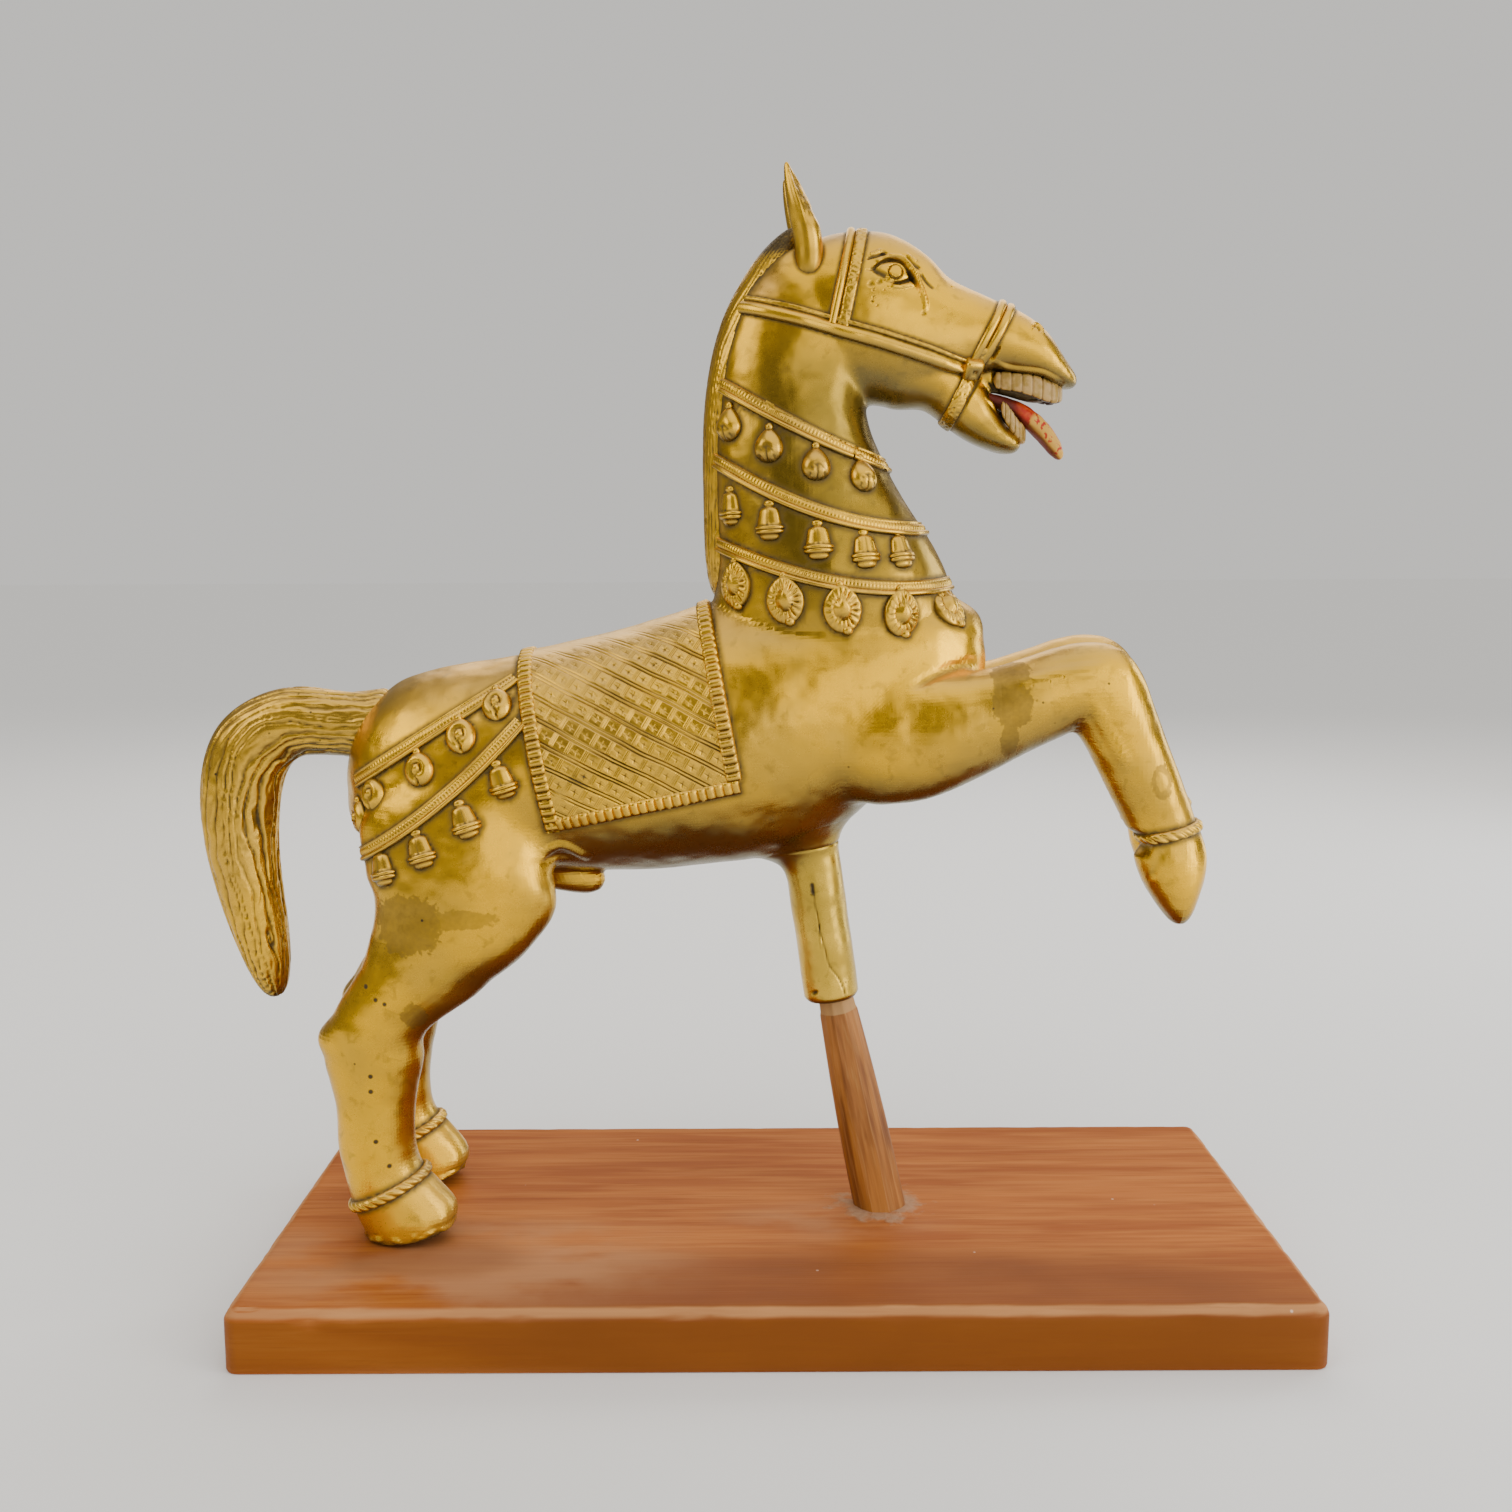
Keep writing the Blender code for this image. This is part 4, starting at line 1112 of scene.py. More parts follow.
# The barrel's axis at the cloth's middle, and how steeply it climbs towards the neck
BARREL_X, BARREL_Z, BARREL_CLIMB = -80, 302, math.radians(14.7)
CLOTH_GIRTH = 62.0          # the flank's radius, which turns an angle into a distance
ROW_PITCH, SQUARE_PITCH = 10.4, 9.7
ROW_SLOPE = math.radians(43.7)
ROW_COUNT, SQUARE_COUNT = 19, 20
FIRST_ROW, FIRST_SQUARE = -55.9, -51.3
# Where the grid's lines fall across one row of squares, and how high the chasing is at each
ROW_STOPS = ((0, 0), (0.75, -0.75), (1.5, -0.15), (1.9, -0.15), (2.65, -0.75), (3.4, 0),
             (4.8, 0.05), (6.3, 0.05), (7.0, 0.05), (7.7, 0.05), (9.2, 0.05))
SQUARE_STOPS = ((0, -0.25), (0.5, -0.05), (1.0, -0.22), (1.6, 0.08), (4.3, 0.1), (5.0, 0.1),
                (5.7, 0.1), (8.2, 0.08), (8.8, -0.2), (9.35, -0.05))
PUNCH = (5.0, 7.0, 1.15, 0.9)          # a dot in each square: along, across, radius, depth
RUBBED, SMUDGED = (-116, 285, 10), (-104.5, 295, 6.5)       # spots on each flank: x, z, reach


def barrel(skin, x, turn, lean=0.0):
    """The skin at an angle down from the spine, seen from the barrel's own axis."""
    axis = Vector((x, 0, BARREL_Z + (x - BARREL_X) * math.tan(BARREL_CLIMB)))
    up = Vector((-math.sin(lean), 0, math.cos(lean)))
    place, _, face, _ = skin.tree.ray_cast(axis, up * math.cos(turn) - SIDEWAYS * math.sin(turn))
    return place, skin.smoothed(place, face)


def spot(place, x, z, reach):
    """1 at the middle of a spot, falling straight to 0 at its reach."""
    return max(0.0, 1 - math.hypot(place.x - x, place.z - z) / reach)


down_lines = [FIRST_ROW + k * ROW_PITCH + at for k in range(ROW_COUNT) for at, _ in ROW_STOPS]
along_lines = [FIRST_SQUARE + k * SQUARE_PITCH + at for k in range(SQUARE_COUNT)
               for at, _ in SQUARE_STOPS]
cloth, column, row = flat_grid("saddle_cloth", len(along_lines) - 1, len(down_lines) - 1)
draped = np.zeros((len(down_lines), len(along_lines), 3))
dirt = np.zeros((len(down_lines), len(along_lines)))
for i, down in enumerate(down_lines):
    row_at, row_height = ROW_STOPS[i % len(ROW_STOPS)]
    for j, along in enumerate(along_lines):
        wander = noise.noise((along * 0.05, down * 0.05, 2.0)) * 0.8
        wander += noise.noise((along * 0.16, down * 0.4, 7.0)) * 0.12
        across = down + wander
        ahead = along * math.cos(ROW_SLOPE) - across * math.sin(ROW_SLOPE)
        girth = along * math.sin(ROW_SLOPE) + across * math.cos(ROW_SLOPE)
        ahead, girth = min(max(ahead, -58), 70), min(max(girth, -8), 140)
        x = BARREL_X + ahead * math.cos(BARREL_CLIMB)
        place, up = barrel(skin, x, girth / CLOTH_GIRTH, BARREL_CLIMB)
        depth = row_height
        if row_at > 3:
            square_at, square_height = SQUARE_STOPS[j % len(SQUARE_STOPS)]
            dot = math.hypot(square_at - PUNCH[0], row_at - PUNCH[1]) / PUNCH[2]
            depth += square_height - PUNCH[3] * max(0.0, 1 - dot ** 2)
        worn = min(1.0, max(0.0, (girth - 6) / 34)) ** 1.3
        worn *= 0.8 + 0.5 * noise.noise((x * 0.035, girth * 0.035, 5.0))
        depth *= max(0.04, worn * (1 - spot(place, *RUBBED)))
        draped[i, j] = place + up * (1.7 + depth)
        dirt[i, j] = -1.25 * depth + 0.5 * spot(place, *SMUDGED) ** 0.6
set_corners(cloth, draped[row, column])
soil(cloth, dirt[row, column])

for (x0, z0), (x1, z1) in zip(CLOTH, CLOTH[1:]):
    start, end = Vector((x0, 0, z0)), Vector((x1, 0, z1))
    outward = SIDEWAYS.cross(end - start).normalized()
    slice_off(cloth, start - outward * 3, outward, closed=False)
slice_off(cloth, (0, 0, 0), SIDEWAYS, closed=False)
with opened(cloth):
    turn_outwards()
carry_out(cloth, "MIRROR", use_axis=(False, True, False), merge_threshold=0.0002)
carry_out(cloth, "SOLIDIFY", thickness=2.6 * MM, offset=-1)


BAR_PITCH = 4.6
BAR_STEP = BAR_PITCH / 8


def bar_profile(along, part):
    """Small round-cornered bars across the border, with deep nicks between them."""
    bar = abs(math.cos(math.pi * along / BAR_PITCH)) ** 0.45
    end = max(0.0, 1 - abs(part) ** 5) ** 0.5
    knock = 0.12 * noise.noise((along * 0.22, 3.0, 1.0))
    return 0.7 + 2.5 * end * (0.18 + 0.82 * bar + knock)


def edge_round(skin, start, end, inset):
    """Places round the barrel where it is cut by the cloth's front or rear edge."""
    stops = []
    for i in range(97):
        turn = math.radians(-132 + 264 * i / 96)
        z = 380.0
        for _ in range(10):
            x = start[0] + (end[0] - start[0]) * (z - start[1]) / (end[1] - start[1]) + inset
            place, _ = barrel(skin, x, turn)
            z = (z + place.z) / 2
        if place.z > max(start[1], end[1]) - 100 and place.z > min(start[1], end[1]) + 1.5:
            stops.append(place)
    return stops


borders = [
    ribbon("border", skin, edge_round(skin, CLOTH[top], CLOTH[foot], inset), BORDER_WIDTH,
           bar_profile, 8, BAR_STEP, square=True)
    for top, foot, inset in ((0, 1, 4.6), (3, 2, -4.6))
]
for side in (NEAR, FAR):
    start, end = np.array(CLOTH[1]), np.array(CLOTH[2])
    stops = [start + (end - start) * part + (0, 4.4) for part in np.linspace(0.03, 0.97, 40)]
    borders.append(ribbon("low_border", skin, skin.flank(stops, side), BORDER_WIDTH,
                          bar_profile, 8, BAR_STEP))
cloth_border = join("saddle_cloth_border", borders)
for piece in (cloth, cloth_border):
    belongs(piece, relief_brass, "horse")

# ---- Mane and tail --------------------------------------------------------------------------
# The hogged mane is a ridge down the nape, closely scored with a graver, with a tuft between
# the ears. The tail is a separate casting let into the rump, its locks cut as long grooves.

MANE = (
    (16, 0, 586, 4, 6), (10, 0, 580, 8, 9), (2, 0, 566, 13, 15), (-5, 0, 551, 15.5, 17),
    (-13.5, 0, 533, 17, 17.5), (-20.5, 0, 509, 16.5, 17), (-25, 0, 477, 15.5, 15),
    (-25, 0, 434, 14.5, 13), (-25.5, 0, 409, 14, 13), (-24, 0, 384, 11, 10),
)
TAIL = (
    (-213, 0, 318, 23, 19), (-226, 0, 318, 19.5, 16), (-244, 0, 318, 18, 15),
    (-271, 0, 323, 21, 16), (-298, 0, 308.5, 25.5, 17), (-305, 0, 275, 23, 18),
    (-304, 0, 245, 20, 18), (-299, 0, 215, 17.5, 17), (-293.5, 0, 190, 14.5, 15),
    (-290, 0, 170, 10, 11), (-288, 0, 160, 4, 5),
)
TUFT_FROM = 566


def score(piece, sections, locks, depth, seed, slant=0.0):
    """Cuts irregular grooves along a limb; they wander, fade out and start again.

    Grime lies in them, and the tuft on the crown is all brown.
    """
    points, normals = corners_of(piece)
    spine = np.array([(x, z) for x, _, z, _, _ in sections], float)
    fine = np.array(rounded_path(spine, 3))
    reached = run_along(fine)
    cut = np.zeros(len(points))
    for i, point in enumerate(points):
        near = int(np.argmin((fine[:, 0] - point[0]) ** 2 + (fine[:, 1] - point[2]) ** 2))
        step = fine[min(near + 1, len(fine) - 1)] - fine[max(near - 1, 0)]
        step = step / np.linalg.norm(step)
        offset = np.array((point[0], point[2])) - fine[near]
        along = reached[near] + offset @ step
        turn = math.atan2(point[1], offset[0] * step[1] - offset[1] * step[0])
        drift = 0.55 * noise.noise((along * 0.02, turn * 1.4, seed))
        drift += 0.16 * noise.noise((along * 0.09, turn * 4, seed + 9))
        phase = turn / math.tau * locks + drift * 2 + slant * along * (1 if point[1] > 0 else -1)
        strength = 0.8 + 0.8 * noise.noise((along * 0.022, math.floor(phase) * 3.7, seed + 4))
        groove = 1 - abs(2 * (phase % 1) - 1)
        cut[i] = max(0.0, min(1.2, strength)) * max(0.0, 1 - groove / 0.42) ** 1.2
        fine_phase = phase * 2.6 + noise.noise((along * 0.05, turn * 3, seed + 2))
        fine_groove = 1 - abs(2 * (fine_phase % 1) - 1)
        cut[i] += 0.22 * max(0.0, 1 - fine_groove / 0.5)
    points -= normals * (depth * cut)[:, None]
    set_corners(piece, points)
    tuft = np.clip((points[:, 2] - TUFT_FROM) / 8, 0, 1)
    tuft *= np.clip((14 - points[:, 0]) / 6, 0, 1)
    soil(piece, 0.95 * cut + 0.8 * tuft)


mane = run_together("horse_mane", [loft("mane", MANE, levels=4)], 1.0, 4)
score(mane, MANE, 38, 0.7, 3.0, slant=0.022)
tail = run_together("horse_tail", [loft("tail", TAIL, levels=4)], 1.05, 4)
score(tail, TAIL, 20, 1.7, 8.0)
for piece in (mane, tail):
    piece.data.shade_smooth()
    belongs(piece, relief_brass, "horse")

# ---- Ears -----------------------------------------------------------------------------------
# The pricked ears are thin leaves, smooth behind and hollowed in front, where the casting
# was left rough and brown. Each foot stands on the skull with a filed joint.

EAR = (
    (18.6, 16, 556, 7.8, 8), (18.4, 16, 571, 7.6, 8.5), (16.8, 17, 582.5, 7.6, 7.5),
    (13.6, 18, 593, 6.9, 6), (9.6, 18.5, 604, 4.6, 4), (7.2, 18.5, 611.5, 2.6, 2.6),
    (5.8, 19, 616.5, 1, 1),
)
ears = []
for side in (NEAR, FAR):
    ear = loft("ear", EAR, side=side)
    points, normals = corners_of(ear)
    opening = normals @ np.array((0.88, side * 0.42, 0.12))
    tall = np.clip((points[:, 2] - 584) / 10, 0, 1) * np.clip((616 - points[:, 2]) / 8, 0, 1)
    scoop = np.clip((opening - 0.45) / 0.4, 0, 1) ** 0.8 * tall
    rough = lumps(points, 0.35)
    points -= normals * (scoop * (2.2 + 1.2 * rough))[:, None]
    rim = hump(opening - 0.38, 0.22) * tall
    points += normals * (0.5 * rim * (1 + 0.8 * rough))[:, None]
    set_corners(ear, points)
    foot = np.clip((578 - points[:, 2]) / 8, 0, 1)
    soil(ear, (0.62 + 0.5 * rough) * scoop + 0.4 * foot)
    ears.append(ear)
ears = join("horse_ears", ears)
ears.data.shade_smooth()
belongs(ears, relief_brass, "horse")

# ---- Teeth and tongue -----------------------------------------------------------------------
# The bared teeth are two cast bars, filed into teeth and once painted a flesh colour. The
# lolling tongue is a painted strip of its own, red worn to yellow, riveted in the mouth.

TOOTH_STEP = 0.55
TOOTH_SIDES = 18
# Each stop of a bar of teeth: x, y, z of its outer edge at the gum, and its height there
UPPER_TEETH = (
    ((118, 8.0, 509.5), 8.4), ((124, 9.6, 509.6), 9.8), ((132, 10.6, 508.8), 10.4),
    ((140, 10.6, 507.8), 11.6), ((147, 9.4, 506.0), 12.6), ((153, 6.8, 504.0), 11.2),
    ((156.6, 3.2, 502.8), 9.2), ((157.6, 0, 502.4), 8.6),
)
LOWER_TEETH = (
    ((122.3, 9.8, 487.0), 7.6), ((125.2, 10.4, 482.4), 10.6), ((129.0, 10.0, 477.7), 11.2),
    ((132.7, 8.4, 474.0), 10.2), ((136.4, 4.8, 471.9), 9.8), ((138.2, 0, 471.3), 9.2),
)


def teeth(name, stops, pitch, thick, up):
    """A bar bent round the jaw, with a nick between one tooth and the next."""
    half = [[*place, tall] for place, tall in stops]
    whole = [[x, -y, z, tall] for x, y, z, tall in half] + half[-2::-1]
    path = np.array(rounded_path(whole, 2))
    reached = run_along(path[:, :3])
    count = round(reached[-1] / TOOTH_STEP)
    even = np.linspace(0, reached[-1], count + 1)
    path = places_along(path, reached, even)
    bar, column, row = flat_grid(name, TOOTH_SIDES, count)
    bent = np.zeros((count + 1, TOOTH_SIDES + 1, 3))
    dirt = np.zeros((count + 1, TOOTH_SIDES + 1))
    for i in range(count + 1):
        step = path[min(i + 1, count), :2] - path[max(i - 1, 0), :2]
        step = step / np.linalg.norm(step)
        outward = np.array((step[1], -step[0], 0.0))
        phase = (even[i] - reached[-1] / 2) / pitch
        nick = max(0.0, 1 - (1 - abs(2 * (phase % 1) - 1)) / 0.28)
        longer = 0.35 * math.sin(math.floor(phase) * 2.4)
        end = min(1.0, min(i, count - i) / 4 + 0.25)
        for k in range(TOOTH_SIDES + 1):
            angle = math.tau * k / TOOTH_SIDES
            c, s = math.cos(angle), math.sin(angle)
            out = thick / 2 * math.copysign(abs(c) ** 0.6, c)
            high = (path[i, 3] + longer) / 2 * math.copysign(abs(s) ** 0.55, s)
            out = (out - 0.55 * nick * (c > 0)) * end
            high = high * (1 - 0.10 * nick) * end
            middle = np.array((path[i, 0], path[i, 1], path[i, 2] + up * path[i, 3] / 2))
            bent[i, k] = middle + outward * (out - thick / 2) + np.array((0, 0, high))
            # Painted shade in the mouth: the inner face and the far edge of each bar go black, and
            # the edge by the gum is darker; the nicks hold grime.
            inner = max(0.0, min(1.0, -c * 4 - 0.6)) + max(0.0, up * s - 0.82) * 5
            dirt[i, k] = 0.55 * nick + 0.4 * max(0.0, -up * s - 0.3) + inner
            dirt[i, k] = min(0.74, dirt[i, k]) if inner < 0.5 else 1
    bent[:, TOOTH_SIDES] = bent[:, 0]
    set_corners(bar, bent[row, column])
    soil(bar, dirt[row, column])
    close_up(bar)
    shade(bar, 60)
    return bar


upper_teeth = teeth("upper_teeth", UPPER_TEETH, 5.8, 4.6, -1)
lower_teeth = teeth("lower_teeth", LOWER_TEETH, 4.6, 4.4, 1)
flesh_paint = Finish("flesh_paint", Coat_Weight=0.15)
between = flesh_paint.mark("grime")
rubbed = flesh_paint.cloud(4, detail=3)
FLESH, RUBBED_FLESH = (0.47, 0.28, 0.07), (0.33, 0.20, 0.03)
TOOTH_GRIME, MOUTH_SHADE = (0.15, 0.085, 0.022), (0.012, 0.006, 0.004)
colour = flesh_paint.tint(rubbed.rise(0.42, 0.62) * 0.8, FLESH, RUBBED_FLESH)
colour = flesh_paint.tint(between.rise(0.1, 0.7) * 0.8, colour, TOOTH_GRIME)
# The grime mark's highest values paint the inside of the mouth near black, as painted shade.
colour = flesh_paint.tint(between.rise(0.75, 0.95) * 0.95, colour, MOUTH_SHADE)
flesh_paint.feed(Base_Color=colour, Roughness=0.36 + 0.2 * rubbed,
                 Metallic=0.55 * rubbed.rise(0.5, 0.68),
                 Normal=flesh_paint.relief(flesh_paint.cloud(1.6), 0.12))
for piece in (upper_teeth, lower_teeth):
    belongs(piece, flesh_paint, "horse")

TONGUE = (
    (112, 0, 498, 3.0, 5), (124, 0, 493.5, 4.0, 6), (136.5, 0, 488.0, 5.2, 6.6),
    (147, 0, 478.4, 5.4, 6.8), (154.6, 0, 468.2, 4.4, 5.6), (157.4, 0, 463, 2, 2.8),
)
tongue = loft("tongue_strip", TONGUE, sides=8, levels=4)
points, normals = corners_of(tongue)
top = np.clip(normals @ np.array((0.6, 0, 0.8)), 0, 1)
points -= normals * (0.9 * top * hump(points[:, 1], 2.6))[:, None]
points += normals * (0.35 * lumps(points, 0.22))[:, None]
set_corners(tongue, points)
# Painted shade: the tongue's root inside the mouth is darkened; grime lies in the groove along its
# top.
soil(tongue, np.clip((139 - points[:, 0]) / 11, 0, 1) + 0.8 * top * hump(points[:, 1], 0.9))
tongue.data.shade_smooth()
red_paint = Finish("red_paint", Specular_IOR_Level=0.25)
chipped = red_paint.cloud(3.2, detail=4, distortion=0.6)
flanks = abs(red_paint.towards((0, 1, 0))).rise(0.3, 0.62)
worn = flanks * chipped.rise(0.34, 0.5) * (1 - red_paint.near((128, 0, 494), 19).rise(0, 0.3))
worn = worn + red_paint.near((158, 0, 464), 7).rise(0.15, 0.6) * 0.55
RED, FADED_RED, BARE_METAL = (0.46, 0.018, 0.006), (0.58, 0.07, 0.010), (0.66, 0.36, 0.05)
UNDER_TONGUE_SHADE, DIRT_AND_SHADE_RED = (0.10, 0.014, 0.008), (0.07, 0.014, 0.008)
colour = red_paint.tint(chipped.rise(0.3, 0.7), RED, FADED_RED)
colour = red_paint.tint(worn.rise(0.1, 0.8), colour, BARE_METAL)
# Painted shade: the tongue's underside is darkened.
beneath = red_paint.towards((-0.6, 0, -0.8)).rise(0.35, 0.8)
colour = red_paint.tint(beneath * 0.9, colour, UNDER_TONGUE_SHADE)
colour = red_paint.tint(red_paint.mark("grime").rise(0.2, 1.0) * 0.9, colour, DIRT_AND_SHADE_RED)
red_paint.feed(Base_Color=colour, Roughness=0.32 + 0.3 * chipped,
               Normal=red_paint.relief(chipped, 0.15))
belongs(tongue, red_paint, "tongue")

# ---- Anklets ----------------------------------------------------------------------------------
# Above each hoof runs a ring of twisted rope, chased in the casting like the straps.

# A ring's middle and the place it passes in front, as x and z, and the leg's y
FORE_ANKLET = ((212, 262), (232, 266.5), 36)
HIND_ANKLET = ((-219, 62), (-198, 72), 40)


def rope_profile(along, part):
    """Two fat strands twisted round one another."""
    twist = abs(math.cos(math.pi * (along / 5.2 - part * 0.55)))
    return 0.2 + 2.7 * round_over(part, 0, 1) ** 0.8 * (0.55 + 0.45 * twist ** 0.6)


legs = Skin(body)
rings = []
for side in (NEAR, FAR):
    for (centre, front, y), ahead in ((FORE_ANKLET, FAR_FORELEG_AHEAD),
                                      (HIND_ANKLET, -FAR_HIND_LEG_BEHIND)):
        shift = ahead * (side == FAR)
        stops = legs.girth((centre[0] + shift, centre[1]), (front[0] + shift, front[1]),
                           0, 360, 48, side * y)[:-1]
        rings.append(ribbon("rope", legs, stops, 6.4, rope_profile, 12, 0.65,
                            closed=True, square=True))
anklets = join("rope_anklets", rings)
belongs(anklets, relief_brass, "horse")

# ---- Grime and painted shade under the harness ----------------------------------------------
# Polish and dirt have gathered along every strap, drop and hem, where a cloth can't reach,
# and shade is painted there as well.

ledges = Skin(collars, crupper_straps, bridle, *drop_rows, cloth_border, mane, ears, anklets)
for piece, own, reach in ((body, body_grime, 4.6), (head, head_grime_and_shade, 2.8)):
    points, _ = corners_of(piece)
    away = np.full(len(points), reach)
    for i, point in enumerate(points):
        met = ledges.tree.find_nearest(Vector(point), reach)
        if met[0] is not None:
            away[i] = met[3]
    # Grime and painted shade: darker the nearer a corner lies to a strap, drop or hem.
    shade_and_grime = 0.9 * np.clip(1 - away / reach, 0, 1) ** 1.2
    soil(piece, np.maximum(shade_and_grime, own))

# ---- Socket ---------------------------------------------------------------------------------
# A thick sheet-brass tube soldered under the belly takes the post. Its lip is filed to a
# chamfer, and the solder seam has opened in a few cracks.

SOCKET_MOUTH = Vector((32, 0, 159))
SOCKET_TILT = math.radians(8)
SOCKET_LENGTH = 122
SOCKET_RADIUS = 15.8
SOCKET_LIP = 12.8
FILLET_FROM = 56            # how far up the tube its join with the belly is blended
FILLET_REACH = 25
OLIVE_BRIGHT, OLIVE_WORN = (0.74, 0.47, 0.055), (0.50, 0.325, 0.038)


def tilted_tube(name, foot, tilt, rings, sides):
    """A round tube drawn ring by ring from its foot; a ring is height up the axis and radius."""
    lean = Matrix.Translation(foot * MM) @ Matrix.Rotation(-tilt, 4, "Y")
    tube = blank(name, "circle", vertices=sides, radius=1, fill_type="NOTHING")
    bpy.ops.object.mode_set(mode="EDIT")
    back = Matrix.Identity(4)
    for i, (height, radius) in enumerate(rings):
        if i:
            bpy.ops.mesh.extrude_edges_move()
        size = Matrix.Diagonal((radius * MM, radius * MM, MM, 1))
        place = lean @ Matrix.Translation((0, 0, height * MM)) @ size
        move_picked(tube, place @ back)
        back = place.inverted()
    bpy.ops.mesh.select_all(action="DESELECT")
    bpy.ops.mesh.select_non_manifold()
    bpy.ops.mesh.edge_face_add()
    turn_outwards()
    bpy.ops.object.mode_set(mode="OBJECT")
    return tube, np.array(lean.inverted())


def along_axis(points, to_axis):
    """Height up a tilted tube's axis, turn round it from the front, and distance from it."""
    local = points @ to_axis[:3, :3].T + to_axis[:3, 3] / MM
    return local[:, 2], np.arctan2(local[:, 0], -local[:, 1]), np.hypot(local[:, 0], local[:, 1])


def blended(skin, point, own, size):
    """Nothing on the smooth union of a tube and the skin, below it inside, above it outside."""
    place, normal, _, _ = skin.tree.find_nearest(Vector(point))
    below_skin = (Vector(point) - place).dot(normal) + 0.3
    overlap = max(0.0, size - abs(own - below_skin)) / size
    return min(own, below_skin) - overlap ** 2 * size / 4


rings = [(16, SOCKET_LIP), (8, SOCKET_LIP), (0.3, SOCKET_LIP), (0, SOCKET_LIP + 0.5),
         (0.2, SOCKET_LIP + 1.2), (1.4, SOCKET_RADIUS - 0.7), (2.6, SOCKET_RADIUS - 0.05)]
rings += [(height, SOCKET_RADIUS) for height in np.arange(4, SOCKET_LENGTH, 0.8)]
socket, to_axis = tilted_tube("brass_socket", SOCKET_MOUTH, SOCKET_TILT, rings, 112)
# Cracks in the seam: arc round the tube and height up it, half width and depth
CRACKS = (
    (((-2.0, 64), (-2.4, 58), (-1.4, 50), (-1.6, 43), (-0.6, 36), (0.2, 28), (0.8, 22),
      (4.8, 16), (7.6, 8.5), (8.4, 3.0)), 0.7, 0.7),
    (((-1.4, 47), (-2.8, 40), (-2.4, 33)), 0.6, 0.4),
    (((-2.4, 70), (-2.6, 65.5)), 1.5, 1.1), (((-11.4, 6.8), (-9.0, 7.6)), 1.3, 0.9),
)
SOCKET_SEAM = 90.5
points, normals = corners_of(socket)
height, turn, away = along_axis(points, to_axis)
outside = np.clip((away - SOCKET_LIP - 0.8) / 1.2, 0, 1)
unrolled = np.stack([turn * SOCKET_RADIUS, height], axis=1)
cut, dark = np.zeros(len(points)), np.zeros(len(points))
for stops, width, depth in CRACKS:
    gap, _ = from_line(unrolled, rounded_path(stops))
    cut += depth * hump(gap, width)
    dark += depth * hump(gap, width * 1.5)
cut += 0.7 * hump(height - SOCKET_SEAM, 1.1)
dark += 0.35 * hump(height - SOCKET_SEAM, 2.0)
points += normals * (outside * (0.35 * lumps(points, 0.06) - cut))[:, None]
for i in np.nonzero((height > FILLET_FROM) & (away > SOCKET_RADIUS - 1))[0]:
    size = 16 - 2.5 * math.sin(turn[i])
    low, high = 0.0, float(FILLET_REACH)
    if blended(skin, points[i], 0.0, size) > -1e-6:
        continue
    for _ in range(11):
        reach = (low + high) / 2
        if blended(skin, points[i] + normals[i] * reach, reach, size) > 0:
            high = reach
        else:
            low = reach
    points[i] += normals[i] * low
set_corners(socket, points)
# Painted shade: the bore inside the tube is painted dark. The lip by the post is darkened too.
dark += 0.5 * np.clip((3.5 - height) / 3, 0, 1) + 1.0 * (outside < 0.4)
soil(socket, dark)
shade(socket, 50)
olive_brass = brass("olive_brass", OLIVE_BRIGHT, OLIVE_WORN, BROWN_PATINA)
belongs(socket, olive_brass, "post_socket")

# ---- Post -----------------------------------------------------------------------------------
# The post is a stick of reddish wood whittled by hand to long uneven flats. It stands in a
# hole in the board, and its upper end is pared to a bare tenon that enters the socket.

BOARD_TOP = 34
POST_FOOT_X = 60
POST_TILT = math.radians(11.7)
POST_SUNK = 20
POST_LENGTH = 156
POST_FOOT_RADIUS = 15
POST_HEAD_RADIUS = 8.6
POST_FLATS = 11
TENON = 119           # how far up the post its bare upper end begins
POST_DARK, POST_LIGHT, POST_STAIN = (0.19, 0.060, 0.011), (0.46, 0.18, 0.036), (0.10, 0.028, 0.008)
PALE_FIBRE, PALE_RIDGE, BARE_WOOD = (0.50, 0.25, 0.07), (0.56, 0.27, 0.09), (0.52, 0.31, 0.12)


def post_radius(up):
    """The stick swells a little at its middle."""
    part = (up + POST_SUNK) / (POST_LENGTH + POST_SUNK)
    straight = POST_FOOT_RADIUS + (POST_HEAD_RADIUS - POST_FOOT_RADIUS) * part
    return straight + 1.9 * math.sin(math.pi * part)


foot = Vector((POST_FOOT_X + POST_SUNK * math.tan(POST_TILT), 0, BOARD_TOP - POST_SUNK))
sunk = POST_SUNK / math.cos(POST_TILT)
rings = [(sunk + up, post_radius(up)) for up in np.arange(-POST_SUNK, POST_LENGTH + 1, 2.2)]
post, to_axis = tilted_tube("whittled_post", foot, POST_TILT, rings, 96)
points, normals = corners_of(post)
height, turn, away = along_axis(points, to_axis)
up = height - sunk
reaches = []
for flat in range(POST_FLATS):
    wander = np.array([0.11 * noise.noise((level * 0.014, flat * 5.1, 2.0)) for level in up])
    depth = np.array([0.955 + 0.03 * noise.noise((flat * 3.3, level * 0.02, 6.0)) for level in up])
    middle = math.tau * flat / POST_FLATS + 0.16 * math.sin(flat * 2.3)
    reaches.append(np.cos(turn - middle - wander) / depth)
reaches = np.sort(reaches, axis=0)
shrink = np.minimum(1, 1 / reaches[-1])
ridge = np.clip(1 - (reaches[-1] - reaches[-2]) / 0.02, 0, 1)
pared = np.clip((up - TENON) / 1.2, 0, 1)
scale = np.where(away > 0.5, shrink * (1 - 0.05 * pared), 1)
axis = np.array((-math.sin(POST_TILT), 0, math.cos(POST_TILT)))
centres = np.array(foot) + height[:, None] * axis
set_corners(post, centres + (points - centres) * scale[:, None])
